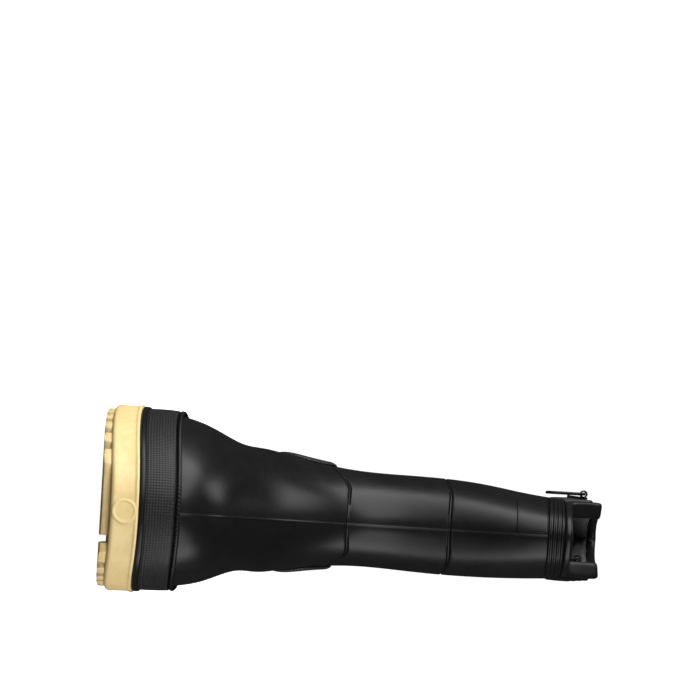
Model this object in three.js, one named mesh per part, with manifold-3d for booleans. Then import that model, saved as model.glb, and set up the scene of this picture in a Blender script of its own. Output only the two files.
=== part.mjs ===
// Pull-on rubber fire boot for the right foot. Millimetres, +Z up, toe towards -Y, outer side at -X.
// The layout is drawn round the moulding plane x = 0, which runs through toe seam and shaft. y = 0 is at the
// middle of the sole. The finished group is moved so that its origin is the middle of its footprint.

import * as THREE from 'three';
import { mergeVertices } from 'three/addons/utils/BufferGeometryUtils.js';
import Module from 'manifold-3d';

const wasm = await Module();
wasm.setup();

// Sole, seen from above.
const SOLE_LENGTH = 325;
const HALF_LENGTH = SOLE_LENGTH / 2;
const SOLE_OUTER_HALF_WIDTH = 75;
const SOLE_INNER_HALF_WIDTH = 56.2;
const SOLE_ROUNDNESS = 2.65;
const OUTER_SHAPE = [0.8, 0.97, 1.0, 0.86, 0.76, 0.7];
const INNER_SHAPE = [1.02, 1.05, 0.99, 0.8, 0.88, 0.88];

// Sole, seen from the side.
const SOLE_THICKNESS = 24;
const LUG_DEPTH = 5;
const TOE_SPRING = 9.5;
const TOE_SPRING_START_Y = -0.2769 * HALF_LENGTH;
const HEEL_RISE = 12;
const HEEL_RISE_START_Y = -0.0615 * HALF_LENGTH;
const HEEL_RISE_END_Y = 0.4923 * HALF_LENGTH;
const ARCH_RECESS = 4;
const ARCH_MIDDLE_Y = 0.1723 * HALF_LENGTH;
const ARCH_HALF_LENGTH = 0.2585 * HALF_LENGTH;
const SOLE_WALL = 9;
const SOLE_WEB = 6;

// Tread.
const LUG_PITCH = 0.1046 * HALF_LENGTH;
const LUG_WIDTH = 10;
const LUG_SWEEP = 12;
const LUG_EDGE_INSET = 3;
const FOREFOOT_LUGS = 8;
const FOREFOOT_FIRST_LUG_Y = -0.9046 * HALF_LENGTH;
const HEEL_LUGS = 5;
const HEEL_FIRST_LUG_Y = 0.5292 * HALF_LENGTH;
const TREAD_GROOVE_X = 19.5;
const TREAD_GROOVE_WIDTH = 5;
const TREAD_GROOVE_END_Y = -0.0738 * HALF_LENGTH;

// Round raised mark on the front of the sole wall.
const MARK_RADIUS = 8.5;
const MARK_RIM = 1.3;
const MARK_HEIGHT = 0.8;
const MARK_Z = SOLE_THICKNESS;

// Layers under and around the foot.
const GAP = 0.3;
const WELT_THICKNESS = 4;
const WELT_EDGE_INSET = 0.6;
const WELT_INNER_INSET = 14;
const PLATE_THICKNESS = 0.8;
const SHANK_WIDTH = 24;
const SHANK_LENGTH = 96;
const SHANK_THICKNESS = 2;
const SHANK_WINDOW = 8;
const BOARD_THICKNESS = 3.4;
const FOOTBED_THICKNESS = 5.5;
const FOOTBED_CLEARANCE = 2.4;
const WELT_OVERLAP = 3;

// Upper. Levels run from the welt to the rim; each row is one tilted section of the loft.
const UPPER_INSET = 5;
const BOOT_HEIGHT = 355;
const RAND_HEIGHT = 0.0563 * BOOT_HEIGHT;
const FRONT_HEIGHT = BOOT_HEIGHT - 24;
// Sections of the leg and foot, from just over the rand to just under the rim. Front and back are shares of
// the sole's half length, frontHigh and backHigh of the height above the welt, outer and inner of the sole's
// half widths.
const UPPER_LEVELS = [
  { front: -0.9046, frontHigh: 0.1249, back: 0.9415, backHigh: 0.1158,
    outer: 0.84, inner: 0.8185, foot: 1, roundness: 2.6, dip: 0.55 },
  { front: -0.7446, frontHigh: 0.1784, back: 0.9262, backHigh: 0.1698,
    outer: 0.7107, inner: 0.6797, foot: 0.9, roundness: 2.4, dip: 0.15 },
  { front: -0.4492, frontHigh: 0.2194, back: 0.9077, backHigh: 0.2303,
    outer: 0.6827, inner: 0.6904, foot: 0.6, roundness: 2.25, dip: 0 },
  { front: -0.16, frontHigh: 0.2981, back: 0.88, backHigh: 0.313,
    outer: 0.6133, inner: 0.6139, foot: 0.2, roundness: 2.1, dip: 0 },
  { front: 0.0369, frontHigh: 0.4303, back: 0.8677, backHigh: 0.4307,
    outer: 0.5333, inner: 0.5409, foot: 0, roundness: 2.15, dip: 0 },
  { front: 0.0554, frontHigh: 0.5751, back: 0.8985, backHigh: 0.577,
    outer: 0.5133, inner: 0.573, foot: 0, roundness: 2.2, dip: 0 },
  { front: 0.0062, frontHigh: 0.7073, back: 0.9415, backHigh: 0.7233,
    outer: 0.4747, inner: 0.5943, foot: 0, roundness: 2.2, dip: 0 },
  { front: -0.0492, frontHigh: 0.8206, back: 0.9723, backHigh: 0.8632,
    outer: 0.392, inner: 0.5694, foot: 0, roundness: 2.2, dip: 0 },
];
const RIM = {
  front: -0.08, frontHigh: 1, back: 0.9846, backHigh: 1,
  outer: 0.336, inner: 0.4982, foot: 0, roundness: 2.25, dip: 0,
};
const RIM_STEP_LEVEL = 0.85;
const RIM_STEP_START = 0.34;
const RIM_STEP_END = 0.52;
const SHELL_WALL = 3;
const REINFORCEMENT = 1.8;
const INSULATION = 3;
const LINING = 1.2;
const RAND_THICKNESS = 3;
const ROPE_RADIUS = 1.7;

// Joints between the rubber plies, as positions up the loft at the front and how far they fall at the back.
const ANKLE_SEAM = 0.59;
const ANKLE_SEAM_DROP = 0.07;
const SHIN_SEAM = 0.755;
const SHIN_SEAM_DROP = 0.03;
const COLLAR_START = 0.945;
const COLLAR_THICKNESS = 1.1;
const COLLAR_RIB = 0.9;
const RIM_BEAD_START = 0.984;
const RIM_BEAD_PROUD = 1;

// Hard parts inside.
const TOE_CAP_END_Y = -0.5908 * HALF_LENGTH;
const HEEL_COUNTER_START_Y = 0.6031 * HALF_LENGTH;
const HEEL_COUNTER_TOP_Z = 0.293 * BOOT_HEIGHT;

// Ankle guards and blank front patch.
const GUARD_THICKNESS = 2.2;
const GUARD_MIDDLE_Y = 0.48 * HALF_LENGTH;
const GUARD_MIDDLE_Z = 0.3831 * BOOT_HEIGHT;
const GUARD_HALF_LENGTH = 34;
const GUARD_HALF_HEIGHT = 32;
const PATCH_THICKNESS = 0.8;
const PATCH_WIDTH = 22;
const PATCH_HEIGHT = 22;
const PATCH_SEAM_DISTANCE = 2;
const PATCH_BOTTOM_Z = 0.8197 * BOOT_HEIGHT;
const PATCH_REACH = 60;

// Pull loops, hinged in keepers just under the rim.
const LOOP_STRAP = 2;
const LOOP_BAND = 6;
const LOOP_LENGTH = 29;
const LOOP_CORNER = 10;
const LOOP_Y = 0.5662 * HALF_LENGTH;
const LOOP_BELOW_RIM = 13;
const KEEPER_LENGTH = 12;
const KEEPER_END_CLEARANCE = 0.5;
const LOOP_WIDTH = KEEPER_LENGTH + 2 * (LOOP_CORNER + KEEPER_END_CLEARANCE);
const KEEPER_PLATE = 1.4;
const KEEPER_PLATE_HEIGHT = 12;
const KEEPER_CLEARANCE = 0.35;
const KEEPER_WALL = 1.1;
const KEEPER_STAND_OFF = { outer: 1.2, inner: 0 };

// Facets.
const AROUND = 32;
const SOLE_AROUND = 48;
const CORNER_STEPS = 5;
const DISC_SIDES = 24;
const BAR_SIDES = 16;
const ROPE_SIDES = 6;

const TAU = 2 * Math.PI;
const FAR = 1000;

// ----------------------------------------------------------------------------------------------------
// Curves

// Smooth curve with continuous curvature through evenly spaced values; the argument runs from 0 to 1.
function smoothThrough(values) {
  const last = values.length - 1;
  const bend = new Array(last + 1).fill(0);
  const diagonal = new Array(last + 1).fill(4);
  const right = values.map((v, i) => (i > 0 && i < last ? 6 * (values[i - 1] - 2 * v + values[i + 1]) : 0));
  for (let i = 2; i < last; i++) {
    const factor = 1 / diagonal[i - 1];
    diagonal[i] -= factor;
    right[i] -= factor * right[i - 1];
  }
  for (let i = last - 1; i > 0; i--) bend[i] = (right[i] - bend[i + 1]) / diagonal[i];
  return (position) => {
    const i = Math.min(Math.max(Math.floor(position * last), 0), last - 1);
    const b = position * last - i;
    const a = 1 - b;
    const curve = ((a ** 3 - a) * bend[i] + (b ** 3 - b) * bend[i + 1]) / 6;
    return a * values[i] + b * values[i + 1] + curve;
  };
}

const clampUnit = (x) => Math.min(Math.max(x, 0), 1);
const smoothStep = (from, to, x) => THREE.MathUtils.smoothstep(x, from, to);
const mix = THREE.MathUtils.lerp;

const outerShape = smoothThrough(OUTER_SHAPE);
const innerShape = smoothThrough(INNER_SHAPE);

// Unit outline: angle 0 is the toe, a quarter turn is the outer side, a half turn is the heel.
function unitOutline(angle, roundness) {
  const c = Math.cos(angle);
  const s = Math.sin(angle);
  const power = 2 / roundness;
  return { along: -Math.sign(c) * Math.abs(c) ** power, across: Math.abs(s) ** power, outer: s > 0 };
}

// Largest value that shape times the rounded ends reaches, so that a stated half width is the real one.
function peakOf(shape, roundness) {
  let peak = 0;
  for (let i = 0; i <= 200; i++) {
    const { along, across } = unitOutline((Math.PI * i) / 200, roundness);
    peak = Math.max(peak, shape((along + 1) / 2) * across);
  }
  return peak;
}
const OUTER_PEAK = peakOf(outerShape, SOLE_ROUNDNESS);
const INNER_PEAK = peakOf(innerShape, SOLE_ROUNDNESS);

const springLength = TOE_SPRING_START_Y + HALF_LENGTH;
const toeSpring = (y) => TOE_SPRING * clampUnit((TOE_SPRING_START_Y - y) / springLength) ** 2;
const heelRise = (y) => HEEL_RISE * smoothStep(HEEL_RISE_START_Y, HEEL_RISE_END_Y, y);
const soleTop = (y) => SOLE_THICKNESS + toeSpring(y) + heelRise(y);
const archReach = (y) => Math.abs(y - ARCH_MIDDLE_Y) / ARCH_HALF_LENGTH;
const archRecess = (y) => ARCH_RECESS * (1 - smoothStep(0.5, 1, archReach(y)));
const soleBottom = (y) => toeSpring(y) + LUG_DEPTH + archRecess(y);

// ----------------------------------------------------------------------------------------------------
// Loft of the upper

const BASE_Z = WELT_THICKNESS + 2 * GAP;
const baseFrontY = -HALF_LENGTH + UPPER_INSET;
const baseBackY = HALF_LENGTH - UPPER_INSET;
const baseFrontZ = soleTop(baseFrontY) + BASE_Z;
const baseBackZ = soleTop(baseBackY) + BASE_Z;
const base = {
  frontY: baseFrontY,
  frontZ: baseFrontZ,
  backY: baseBackY,
  backZ: baseBackZ,
  outer: SOLE_OUTER_HALF_WIDTH - UPPER_INSET,
  inner: SOLE_INNER_HALF_WIDTH - UPPER_INSET,
  foot: 1,
  roundness: SOLE_ROUNDNESS,
  dip: 1,
};
const randTop = {
  ...base,
  frontY: baseFrontY + 1.5,
  backY: baseBackY - 0.5,
  frontZ: baseFrontZ + RAND_HEIGHT,
  backZ: baseBackZ + RAND_HEIGHT,
  outer: base.outer - 0.7,
  inner: base.inner - 0.7,
  dip: 0.95,
};

// Level in millimetres from one given in shares of the overall sizes.
function sized(level) {
  return {
    ...level,
    frontY: level.front * HALF_LENGTH,
    frontZ: mix(baseFrontZ, BOOT_HEIGHT, level.frontHigh),
    backY: level.back * HALF_LENGTH,
    backZ: mix(baseBackZ, BOOT_HEIGHT, level.backHigh),
    outer: level.outer * SOLE_OUTER_HALF_WIDTH,
    inner: level.inner * SOLE_INNER_HALF_WIDTH,
  };
}
const rim = { ...sized(RIM), frontZ: FRONT_HEIGHT };
const levels = [base, randTop, ...UPPER_LEVELS.map(sized), rim];
const RAND_TOP = 1 / (levels.length - 1);
const curveOf = (key) => smoothThrough(levels.map((level) => level[key]));
const along = Object.fromEntries(Object.keys(base).map((key) => [key, curveOf(key)]));

// How far the base line of the upper lies under the straight line from its front to its back.
function baseDip(v) {
  const y = mix(base.frontY, base.backY, v);
  return soleTop(y) + BASE_Z - mix(base.frontZ, base.backZ, v);
}

// The rim steps up from the low front to the high back instead of rising evenly.
const rimStep = (v) => smoothStep(RIM_STEP_START, RIM_STEP_END, v) - v;

function upperPoint(t, angle) {
  const roundness = along.roundness(t);
  const outline = unitOutline(angle, roundness);
  const v = (outline.along + 1) / 2;
  const footShape = outline.outer ? outerShape(v) / OUTER_PEAK : innerShape(v) / INNER_PEAK;
  const shape = mix(1, footShape, along.foot(t));
  const half = (outline.outer ? -along.outer(t) : along.inner(t)) * shape * outline.across;
  const step = (BOOT_HEIGHT - FRONT_HEIGHT) * smoothStep(RIM_STEP_LEVEL, 1, t) * rimStep(v);
  const z = mix(along.frontZ(t), along.backZ(t), v) + along.dip(t) * baseDip(v) + step;
  return new THREE.Vector3(half, mix(along.frontY(t), along.backY(t), v), z);
}

// Point of the loft moved outwards by the offset, along the surface's own normal.
function upperSurface(t, angle, offset) {
  const small = 1e-3;
  const around = upperPoint(t, angle + small).sub(upperPoint(t, angle - small));
  const up = upperPoint(t + small, angle).sub(upperPoint(t - small, angle));
  const normal = up.cross(around).normalize();
  return upperPoint(t, angle).addScaledVector(normal, offset);
}

// Rows of the loft that every layer shares, so that the facets of neighbouring layers stay parallel.
const seamFall = (angle) => (1 - Math.cos(angle)) / 2;
const ankleSeam = (angle) => ANKLE_SEAM - ANKLE_SEAM_DROP * seamFall(angle);
const shinSeam = (angle) => SHIN_SEAM - SHIN_SEAM_DROP * seamFall(angle);
const constant = (t) => () => t;

function rowsBetween(from, to, steps) {
  return Array.from({ length: steps }, (_, i) => (angle) => mix(from(angle), to(angle), (i + 1) / steps));
}

const randRows = [(angle) => nudged(constant(0), -WELT_OVERLAP)(angle), constant(RAND_TOP)];
const vampRows = [...randRows, ...rowsBetween(constant(RAND_TOP), ankleSeam, 7)];
const lowerLegRows = rowsBetween(ankleSeam, shinSeam, 2);
const upperLegRows = rowsBetween(shinSeam, constant(COLLAR_START), 2);
const collarRows = rowsBetween(constant(COLLAR_START), constant(RIM_BEAD_START), 1);
const allRows = [...vampRows, ...lowerLegRows, ...upperLegRows, ...collarRows];

// The same row moved up or down by half the gap between plies.
function nudged(row, distance) {
  const small = 1e-3;
  return (angle) => {
    const t = row(angle);
    const speed = upperPoint(t + small, angle).distanceTo(upperPoint(t - small, angle)) / (2 * small);
    return t + distance / speed;
  };
}

// ----------------------------------------------------------------------------------------------------
// Solids

function geometryOf(points, triangles) {
  const geometry = new THREE.BufferGeometry();
  geometry.setAttribute('position', new THREE.Float32BufferAttribute(points.flatMap((p) => p.toArray()), 3));
  let volume = 0;
  for (const [a, b, c] of triangles) volume += points[a].dot(points[b].clone().cross(points[c]));
  geometry.setIndex((volume < 0 ? triangles.map(([a, b, c]) => [a, c, b]) : triangles).flat());
  return geometry;
}

// Closed ring swept round the boot: the section is a closed loop of points at each angle. The corners from
// turnAt on run downwards, so their facets are split the other way and stay parallel to a neighbour's.
function ringSolid(loop, turnAt = loop.length) {
  const points = [];
  for (let i = 0; i < AROUND; i++) {
    const angle = (TAU * i) / AROUND;
    points.push(...loop.map((corner) => corner(angle)));
  }
  const triangles = [];
  for (let i = 0; i < AROUND; i++) {
    const here = i * loop.length;
    const there = ((i + 1) % AROUND) * loop.length;
    for (let j = 0; j < loop.length; j++) {
      const next = (j + 1) % loop.length;
      const [a, b, c, d] = [here + j, here + next, there + j, there + next];
      if (j < turnAt) triangles.push([a, b, c], [b, d, c]);
      else triangles.push([a, b, d], [a, d, c]);
    }
  }
  return geometryOf(points, triangles);
}

// Layer of the upper between two offsets, over the given rows.
function layer(rows, inside, outside) {
  const corner = (row, offset) => (angle) => upperSurface(row(angle), angle, offset);
  const outer = rows.map((row) => corner(row, outside));
  const inner = rows.map((row) => corner(row, inside)).reverse();
  return ringSolid([...outer, ...inner], outer.length);
}

// Ply that stops half a gap short of the seams at its ends.
function ply(rows, inside, outside) {
  const first = nudged(rows[0], GAP / 2);
  const last = nudged(rows[rows.length - 1], -GAP / 2);
  return layer([first, ...rows.slice(1, -1), last], inside, outside);
}

// The lowest layers reach a little too far down and are trimmed to stand on the welt.
function trimmedToWelt(geometry) {
  const below = soleSlab(SOLE_WALL, () => -FAR, (y) => soleTop(y) + BASE_Z);
  return fromManifold(toManifold(geometry).subtract(toManifold(below)));
}

// Point of the sole outline, moved outwards by grow.
function soleEdge(angle, grow) {
  const at = (a) => {
    const outline = unitOutline(a, SOLE_ROUNDNESS);
    const v = (outline.along + 1) / 2;
    const half = outline.outer
      ? (-SOLE_OUTER_HALF_WIDTH * outerShape(v)) / OUTER_PEAK
      : (SOLE_INNER_HALF_WIDTH * innerShape(v)) / INNER_PEAK;
    return new THREE.Vector2(half * outline.across, HALF_LENGTH * outline.along);
  };
  const small = 1e-3;
  const tangent = at(angle + small).sub(at(angle - small)).normalize();
  return at(angle).add(new THREE.Vector2(tangent.y, -tangent.x).multiplyScalar(-grow));
}

// Angle of a station of the sole's outline, spaced so that the stations lie closest at toe and heel.
function stationAngle(index) {
  const turn = (TAU * (index + 0.5)) / SOLE_AROUND;
  const c = Math.cos(turn);
  const even = Math.acos(Math.sign(c) * Math.abs(c) ** (SOLE_ROUNDNESS / 2));
  return turn > Math.PI ? TAU - even : even;
}

// Slab in the shape of the sole, whose underside and top follow heights given along the boot.
function soleSlab(grow, bottom, top) {
  const points = [];
  const half = SOLE_AROUND / 2;
  for (const height of [bottom, top]) {
    for (let i = 0; i < SOLE_AROUND; i++) {
      const edge = soleEdge(stationAngle(i), grow);
      points.push(new THREE.Vector3(edge.x, edge.y, height(edge.y)));
    }
  }
  const triangles = [];
  for (let i = 0; i < SOLE_AROUND; i++) {
    const next = (i + 1) % SOLE_AROUND;
    triangles.push([i, next, i + SOLE_AROUND], [next, next + SOLE_AROUND, i + SOLE_AROUND]);
  }
  for (let i = 0; i < half - 1; i++) {
    const mirror = SOLE_AROUND - 1 - i;
    const over = SOLE_AROUND;
    triangles.push([i, mirror, i + 1], [i + 1, mirror, mirror - 1]);
    triangles.push([i + over, i + 1 + over, mirror + over]);
    triangles.push([i + 1 + over, mirror - 1 + over, mirror + over]);
  }
  return geometryOf(points, triangles);
}

function toManifold(geometry) {
  const bare = geometry.clone();
  bare.deleteAttribute('normal');
  bare.deleteAttribute('uv');
  const merged = mergeVertices(bare, 1e-4);
  const vertProperties = new Float32Array(merged.attributes.position.array);
  const triVerts = new Uint32Array(merged.index.array);
  return new wasm.Manifold(new wasm.Mesh({ numProp: 3, vertProperties, triVerts }));
}

function fromManifold(solid) {
  const mesh = solid.getMesh();
  const geometry = new THREE.BufferGeometry();
  geometry.setAttribute('position', new THREE.Float32BufferAttribute(mesh.vertProperties, 3));
  geometry.setIndex([...mesh.triVerts]);
  return geometry;
}

// The same solid without what it shares with its neighbours, and without crumbs or sealed bubbles.
function clearOf(geometry, ...neighbours) {
  const cut = neighbours.map(toManifold).reduce((rest, other) => rest.subtract(other), toManifold(geometry));
  const larger = (a, b) => (a.volume() > b.volume() ? a : b);
  return fromManifold(cut.decompose().reduce(larger));
}

// Block between two corners.
function block(minX, minY, minZ, maxX, maxY, maxZ) {
  const geometry = new THREE.BoxGeometry(maxX - minX, maxY - minY, maxZ - minZ);
  return geometry.translate((minX + maxX) / 2, (minY + maxY) / 2, (minZ + maxZ) / 2);
}

// Round bar along Y.
function barAlongY(radius, length, x, y, z) {
  return new THREE.CylinderGeometry(radius, radius, length, BAR_SIDES).translate(x, y, z);
}

// Prism along X of a shape drawn in Y and Z.
function prismAlongX(shape, fromX, toX) {
  const settings = { depth: toX - fromX, bevelEnabled: false, curveSegments: CORNER_STEPS };
  const geometry = new THREE.ExtrudeGeometry(shape, settings);
  const drawnX = new THREE.Vector3(0, 1, 0);
  const drawnY = new THREE.Vector3(0, 0, 1);
  const depth = new THREE.Vector3(1, 0, 0);
  geometry.applyMatrix4(new THREE.Matrix4().makeBasis(drawnX, drawnY, depth));
  return geometry.translate(fromX, 0, 0);
}

// Ellipse in Y and Z.
function oval(middleY, middleZ, halfY, halfZ) {
  return new THREE.Shape().absellipse(middleY, middleZ, halfY, halfZ, 0, TAU, false, 0);
}

// Rectangle in Y and Z with rounded corners.
function roundedRectangle(path, minY, minZ, maxY, maxZ, radius) {
  const quarter = Math.PI / 2;
  path.moveTo(minY + radius, minZ);
  path.lineTo(maxY - radius, minZ);
  path.absarc(maxY - radius, minZ + radius, radius, -quarter, 0, false);
  path.lineTo(maxY, maxZ - radius);
  path.absarc(maxY - radius, maxZ - radius, radius, 0, quarter, false);
  path.lineTo(minY + radius, maxZ);
  path.absarc(minY + radius, maxZ - radius, radius, quarter, 2 * quarter, false);
  path.lineTo(minY, minZ + radius);
  path.absarc(minY + radius, minZ + radius, radius, 2 * quarter, 3 * quarter, false);
  return path;
}

// ----------------------------------------------------------------------------------------------------
// Sole unit

// Swept-back bar of tread, pointing at the toe when sweep is positive.
function lugBar(y, sweep) {
  const reach = SOLE_OUTER_HALF_WIDTH + LUG_WIDTH;
  const shape = new THREE.Shape([
    new THREE.Vector2(0, y - LUG_WIDTH / 2),
    new THREE.Vector2(reach, y - LUG_WIDTH / 2 + sweep),
    new THREE.Vector2(reach, y + LUG_WIDTH / 2 + sweep),
    new THREE.Vector2(0, y + LUG_WIDTH / 2),
    new THREE.Vector2(-reach, y + LUG_WIDTH / 2 + sweep),
    new THREE.Vector2(-reach, y - LUG_WIDTH / 2 + sweep),
  ]);
  const settings = { depth: 2 * SOLE_THICKNESS, bevelEnabled: false };
  return new THREE.ExtrudeGeometry(shape, settings).translate(0, 0, -1);
}

function buildOutsole() {
  const body = toManifold(soleSlab(0, soleBottom, soleTop));
  const pocket = toManifold(soleSlab(-SOLE_WALL, (y) => soleBottom(y) + SOLE_WEB, (y) => soleTop(y) + 1));
  const overlap = 1;
  let lugs = null;
  const bars = [];
  for (let i = 0; i < FOREFOOT_LUGS; i++) {
    bars.push(lugBar(FOREFOOT_FIRST_LUG_Y + i * LUG_PITCH, LUG_SWEEP));
  }
  for (let i = 0; i < HEEL_LUGS; i++) bars.push(lugBar(HEEL_FIRST_LUG_Y + i * LUG_PITCH, -LUG_SWEEP));
  for (const bar of bars.map(toManifold)) lugs = lugs === null ? bar : lugs.add(bar);
  const treadLayer = toManifold(soleSlab(-LUG_EDGE_INSET, toeSpring, (y) => soleBottom(y) + overlap));
  const grooveStart = TREAD_GROOVE_X - TREAD_GROOVE_WIDTH / 2;
  const grooveEnd = grooveStart + TREAD_GROOVE_WIDTH;
  const groove = toManifold(block(grooveStart, -FAR, -FAR, grooveEnd, TREAD_GROOVE_END_Y, FAR));
  const tread = lugs.intersect(treadLayer).subtract(groove);
  const disc = (radius, from, to) => {
    const geometry = new THREE.CylinderGeometry(radius, radius, to - from, DISC_SIDES);
    return toManifold(geometry.translate(0, -HALF_LENGTH + (from + to) / 2, MARK_Z));
  };
  const markDepth = SOLE_WALL / 2;
  const mark = disc(MARK_RADIUS, -MARK_HEIGHT, markDepth)
    .subtract(disc(MARK_RADIUS - MARK_RIM, -MARK_HEIGHT - 1, -MARK_HEIGHT / 2));
  return fromManifold(body.subtract(pocket).add(tread).add(mark));
}

// Flat bar under the arch. A grown one with a far higher top cuts the slot that the bar is dropped into.
const shankTop = soleTop(ARCH_MIDDLE_Y - SHANK_LENGTH / 2) - PLATE_THICKNESS - 3 * GAP;

function shankBlock(grow, top) {
  const halfLength = SHANK_LENGTH / 2 + grow;
  const halfWidth = SHANK_WIDTH / 2 + grow;
  const bottom = shankTop - SHANK_THICKNESS - grow;
  return block(-halfWidth, ARCH_MIDDLE_Y - halfLength, bottom, halfWidth, ARCH_MIDDLE_Y + halfLength, top);
}

function buildSteelShank() {
  let shank = toManifold(shankBlock(0, shankTop));
  const pitch = SHANK_LENGTH / 4;
  for (let i = -1; i <= 1; i++) {
    const y = ARCH_MIDDLE_Y + i * pitch;
    const half = SHANK_WINDOW / 2;
    const window = block(-half, y - half, -FAR, half, y + half, FAR);
    shank = shank.subtract(toManifold(window));
  }
  return fromManifold(shank);
}

function buildFiller() {
  const inset = -SOLE_WALL - GAP;
  const fillerTop = (y) => soleTop(y) - PLATE_THICKNESS - 2 * GAP;
  const fillerBottom = (y) => soleBottom(y) + SOLE_WEB + GAP;
  const filler = toManifold(soleSlab(inset, fillerBottom, fillerTop));
  return fromManifold(filler.subtract(toManifold(shankBlock(GAP, FAR))));
}

function buildPlate() {
  const bottom = (y) => soleTop(y) - PLATE_THICKNESS - GAP;
  return soleSlab(-SOLE_WALL - GAP, bottom, (y) => bottom(y) + PLATE_THICKNESS);
}

function buildWelt() {
  const bottom = (y) => soleTop(y) + GAP;
  const top = (y) => soleTop(y) + GAP + WELT_THICKNESS;
  const whole = toManifold(soleSlab(-WELT_EDGE_INSET, bottom, top));
  const hole = toManifold(soleSlab(-WELT_INNER_INSET, (y) => bottom(y) - 1, (y) => top(y) + 1));
  return fromManifold(whole.subtract(hole));
}

function buildBoard() {
  const bottom = (y) => soleTop(y) + GAP;
  return soleSlab(-WELT_INNER_INSET - GAP, bottom, (y) => bottom(y) + BOARD_THICKNESS);
}

// ----------------------------------------------------------------------------------------------------
// Upper

const hardOutside = -SHELL_WALL - GAP;
const hardInside = hardOutside - REINFORCEMENT;
const insulationInside = hardInside - GAP - INSULATION;
const liningOutside = insulationInside - GAP;
const liningInside = liningOutside - LINING;
const toeRegion = (gap) => block(-FAR, -FAR, -FAR, FAR, TOE_CAP_END_Y + gap, FAR);
const heelRegion = (gap) => (
  block(-FAR, HEEL_COUNTER_START_Y - gap, -FAR, FAR, FAR, HEEL_COUNTER_TOP_Z + gap));

function buildFootbed() {
  const inset = -UPPER_INSET + liningInside - FOOTBED_CLEARANCE;
  const bottom = (y) => soleTop(y) + 2 * GAP + BOARD_THICKNESS;
  return soleSlab(inset, bottom, (y) => bottom(y) + FOOTBED_THICKNESS);
}

// Stiffener moulded into the toe or the heel, between the rubber and the insulation.
function buildHardPart(region) {
  const whole = toManifold(trimmedToWelt(layer(vampRows, hardInside, hardOutside)));
  return fromManifold(whole.intersect(toManifold(region(0))));
}

// Insulation, thinner where the stiffeners lie in its outer face.
function buildInsulation() {
  const whole = toManifold(trimmedToWelt(ply(allRows, insulationInside, hardOutside)));
  const recess = toManifold(layer(vampRows, hardInside - GAP, 0));
  const hollows = [toeRegion, heelRegion].map((region) => recess.intersect(toManifold(region(GAP))));
  return fromManifold(whole.subtract(hollows[0]).subtract(hollows[1]));
}

// Round bead lying along the top edge of the rand.
function buildRopeBead() {
  const middle = ROPE_RADIUS + GAP;
  const rise = nudged(constant(RAND_TOP), ROPE_RADIUS + GAP);
  const loop = Array.from({ length: ROPE_SIDES }, (_, i) => {
    const turn = (TAU * i) / ROPE_SIDES;
    return (angle) => {
      const centreT = rise(angle);
      const up = nudged(constant(centreT), ROPE_RADIUS * Math.sin(turn));
      return upperSurface(up(angle), angle, middle + ROPE_RADIUS * Math.cos(turn));
    };
  });
  return ringSolid(loop);
}

// Ribbed band just under the rim: three ridges on a thin ply.
function buildCollar() {
  const ribs = 3;
  const from = nudged(constant(COLLAR_START), GAP);
  const to = nudged(constant(RIM_BEAD_START), -GAP);
  const outside = [];
  for (let i = 0; i < ribs; i++) {
    for (const [part, proud] of [[0.15, 0], [0.4, COLLAR_RIB], [0.6, COLLAR_RIB], [0.85, 0]]) {
      const share = (i + part) / ribs;
      const offset = GAP + COLLAR_THICKNESS + proud;
      outside.push((angle) => upperSurface(mix(from(angle), to(angle), share), angle, offset));
    }
  }
  const inside = [to, from].map((row) => (angle) => upperSurface(row(angle), angle, GAP));
  return ringSolid([...outside, ...inside]);
}

// Rounded bead that closes the top of all layers.
function buildRimBead() {
  const deep = liningInside - RIM_BEAD_PROUD;
  const bottom = nudged(constant(RIM_BEAD_START), GAP);
  const proud = RIM_BEAD_PROUD;
  const section = [[0, proud], [0.6, proud], [1, 0], [1, liningInside], [0.6, deep], [0, deep]];
  const corner = ([share, offset]) => (angle) => upperSurface(mix(bottom(angle), 1, share), angle, offset);
  return ringSolid(section.map(corner));
}

function buildAnkleGuard(sideSign) {
  const band = toManifold(layer(vampRows, GAP, GAP + GUARD_THICKNESS));
  const shape = oval(GUARD_MIDDLE_Y, GUARD_MIDDLE_Z, GUARD_HALF_LENGTH, GUARD_HALF_HEIGHT);
  const cutter = sideSign < 0 ? prismAlongX(shape, -FAR, 0) : prismAlongX(shape, 0, FAR);
  return fromManifold(band.intersect(toManifold(cutter)));
}

function buildFrontPatch() {
  const rows = [lowerLegRows[lowerLegRows.length - 1], ...upperLegRows];
  const band = toManifold(layer(rows, GAP, GAP + PATCH_THICKNESS));
  const reach = along.frontY(COLLAR_START) + PATCH_REACH;
  const top = PATCH_BOTTOM_Z + PATCH_HEIGHT;
  const left = -PATCH_SEAM_DISTANCE - PATCH_WIDTH;
  const window = block(left, -FAR, PATCH_BOTTOM_Z, -PATCH_SEAM_DISTANCE, reach, top);
  return fromManifold(band.intersect(toManifold(window)));
}

// ----------------------------------------------------------------------------------------------------
// Pull loops and their keepers

const barRadius = Math.SQRT1_2 * LOOP_STRAP;
const boreRadius = barRadius + KEEPER_CLEARANCE;
const keeperRadius = boreRadius + KEEPER_WALL;

// Where the loft's wall is at the loop: the angle at which the rim passes the loop's middle, on one side.
function rimAtLoop(outerSide) {
  let best = null;
  const steps = 400;
  const start = outerSide ? 0 : Math.PI;
  const missed = (point) => Math.abs(point.y - LOOP_Y);
  for (let i = 1; i < steps; i++) {
    const angle = start + (Math.PI * i) / steps;
    const point = upperPoint(1, angle);
    if (best === null || missed(point) < missed(best.point)) best = { point, angle };
  }
  return best;
}

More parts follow.
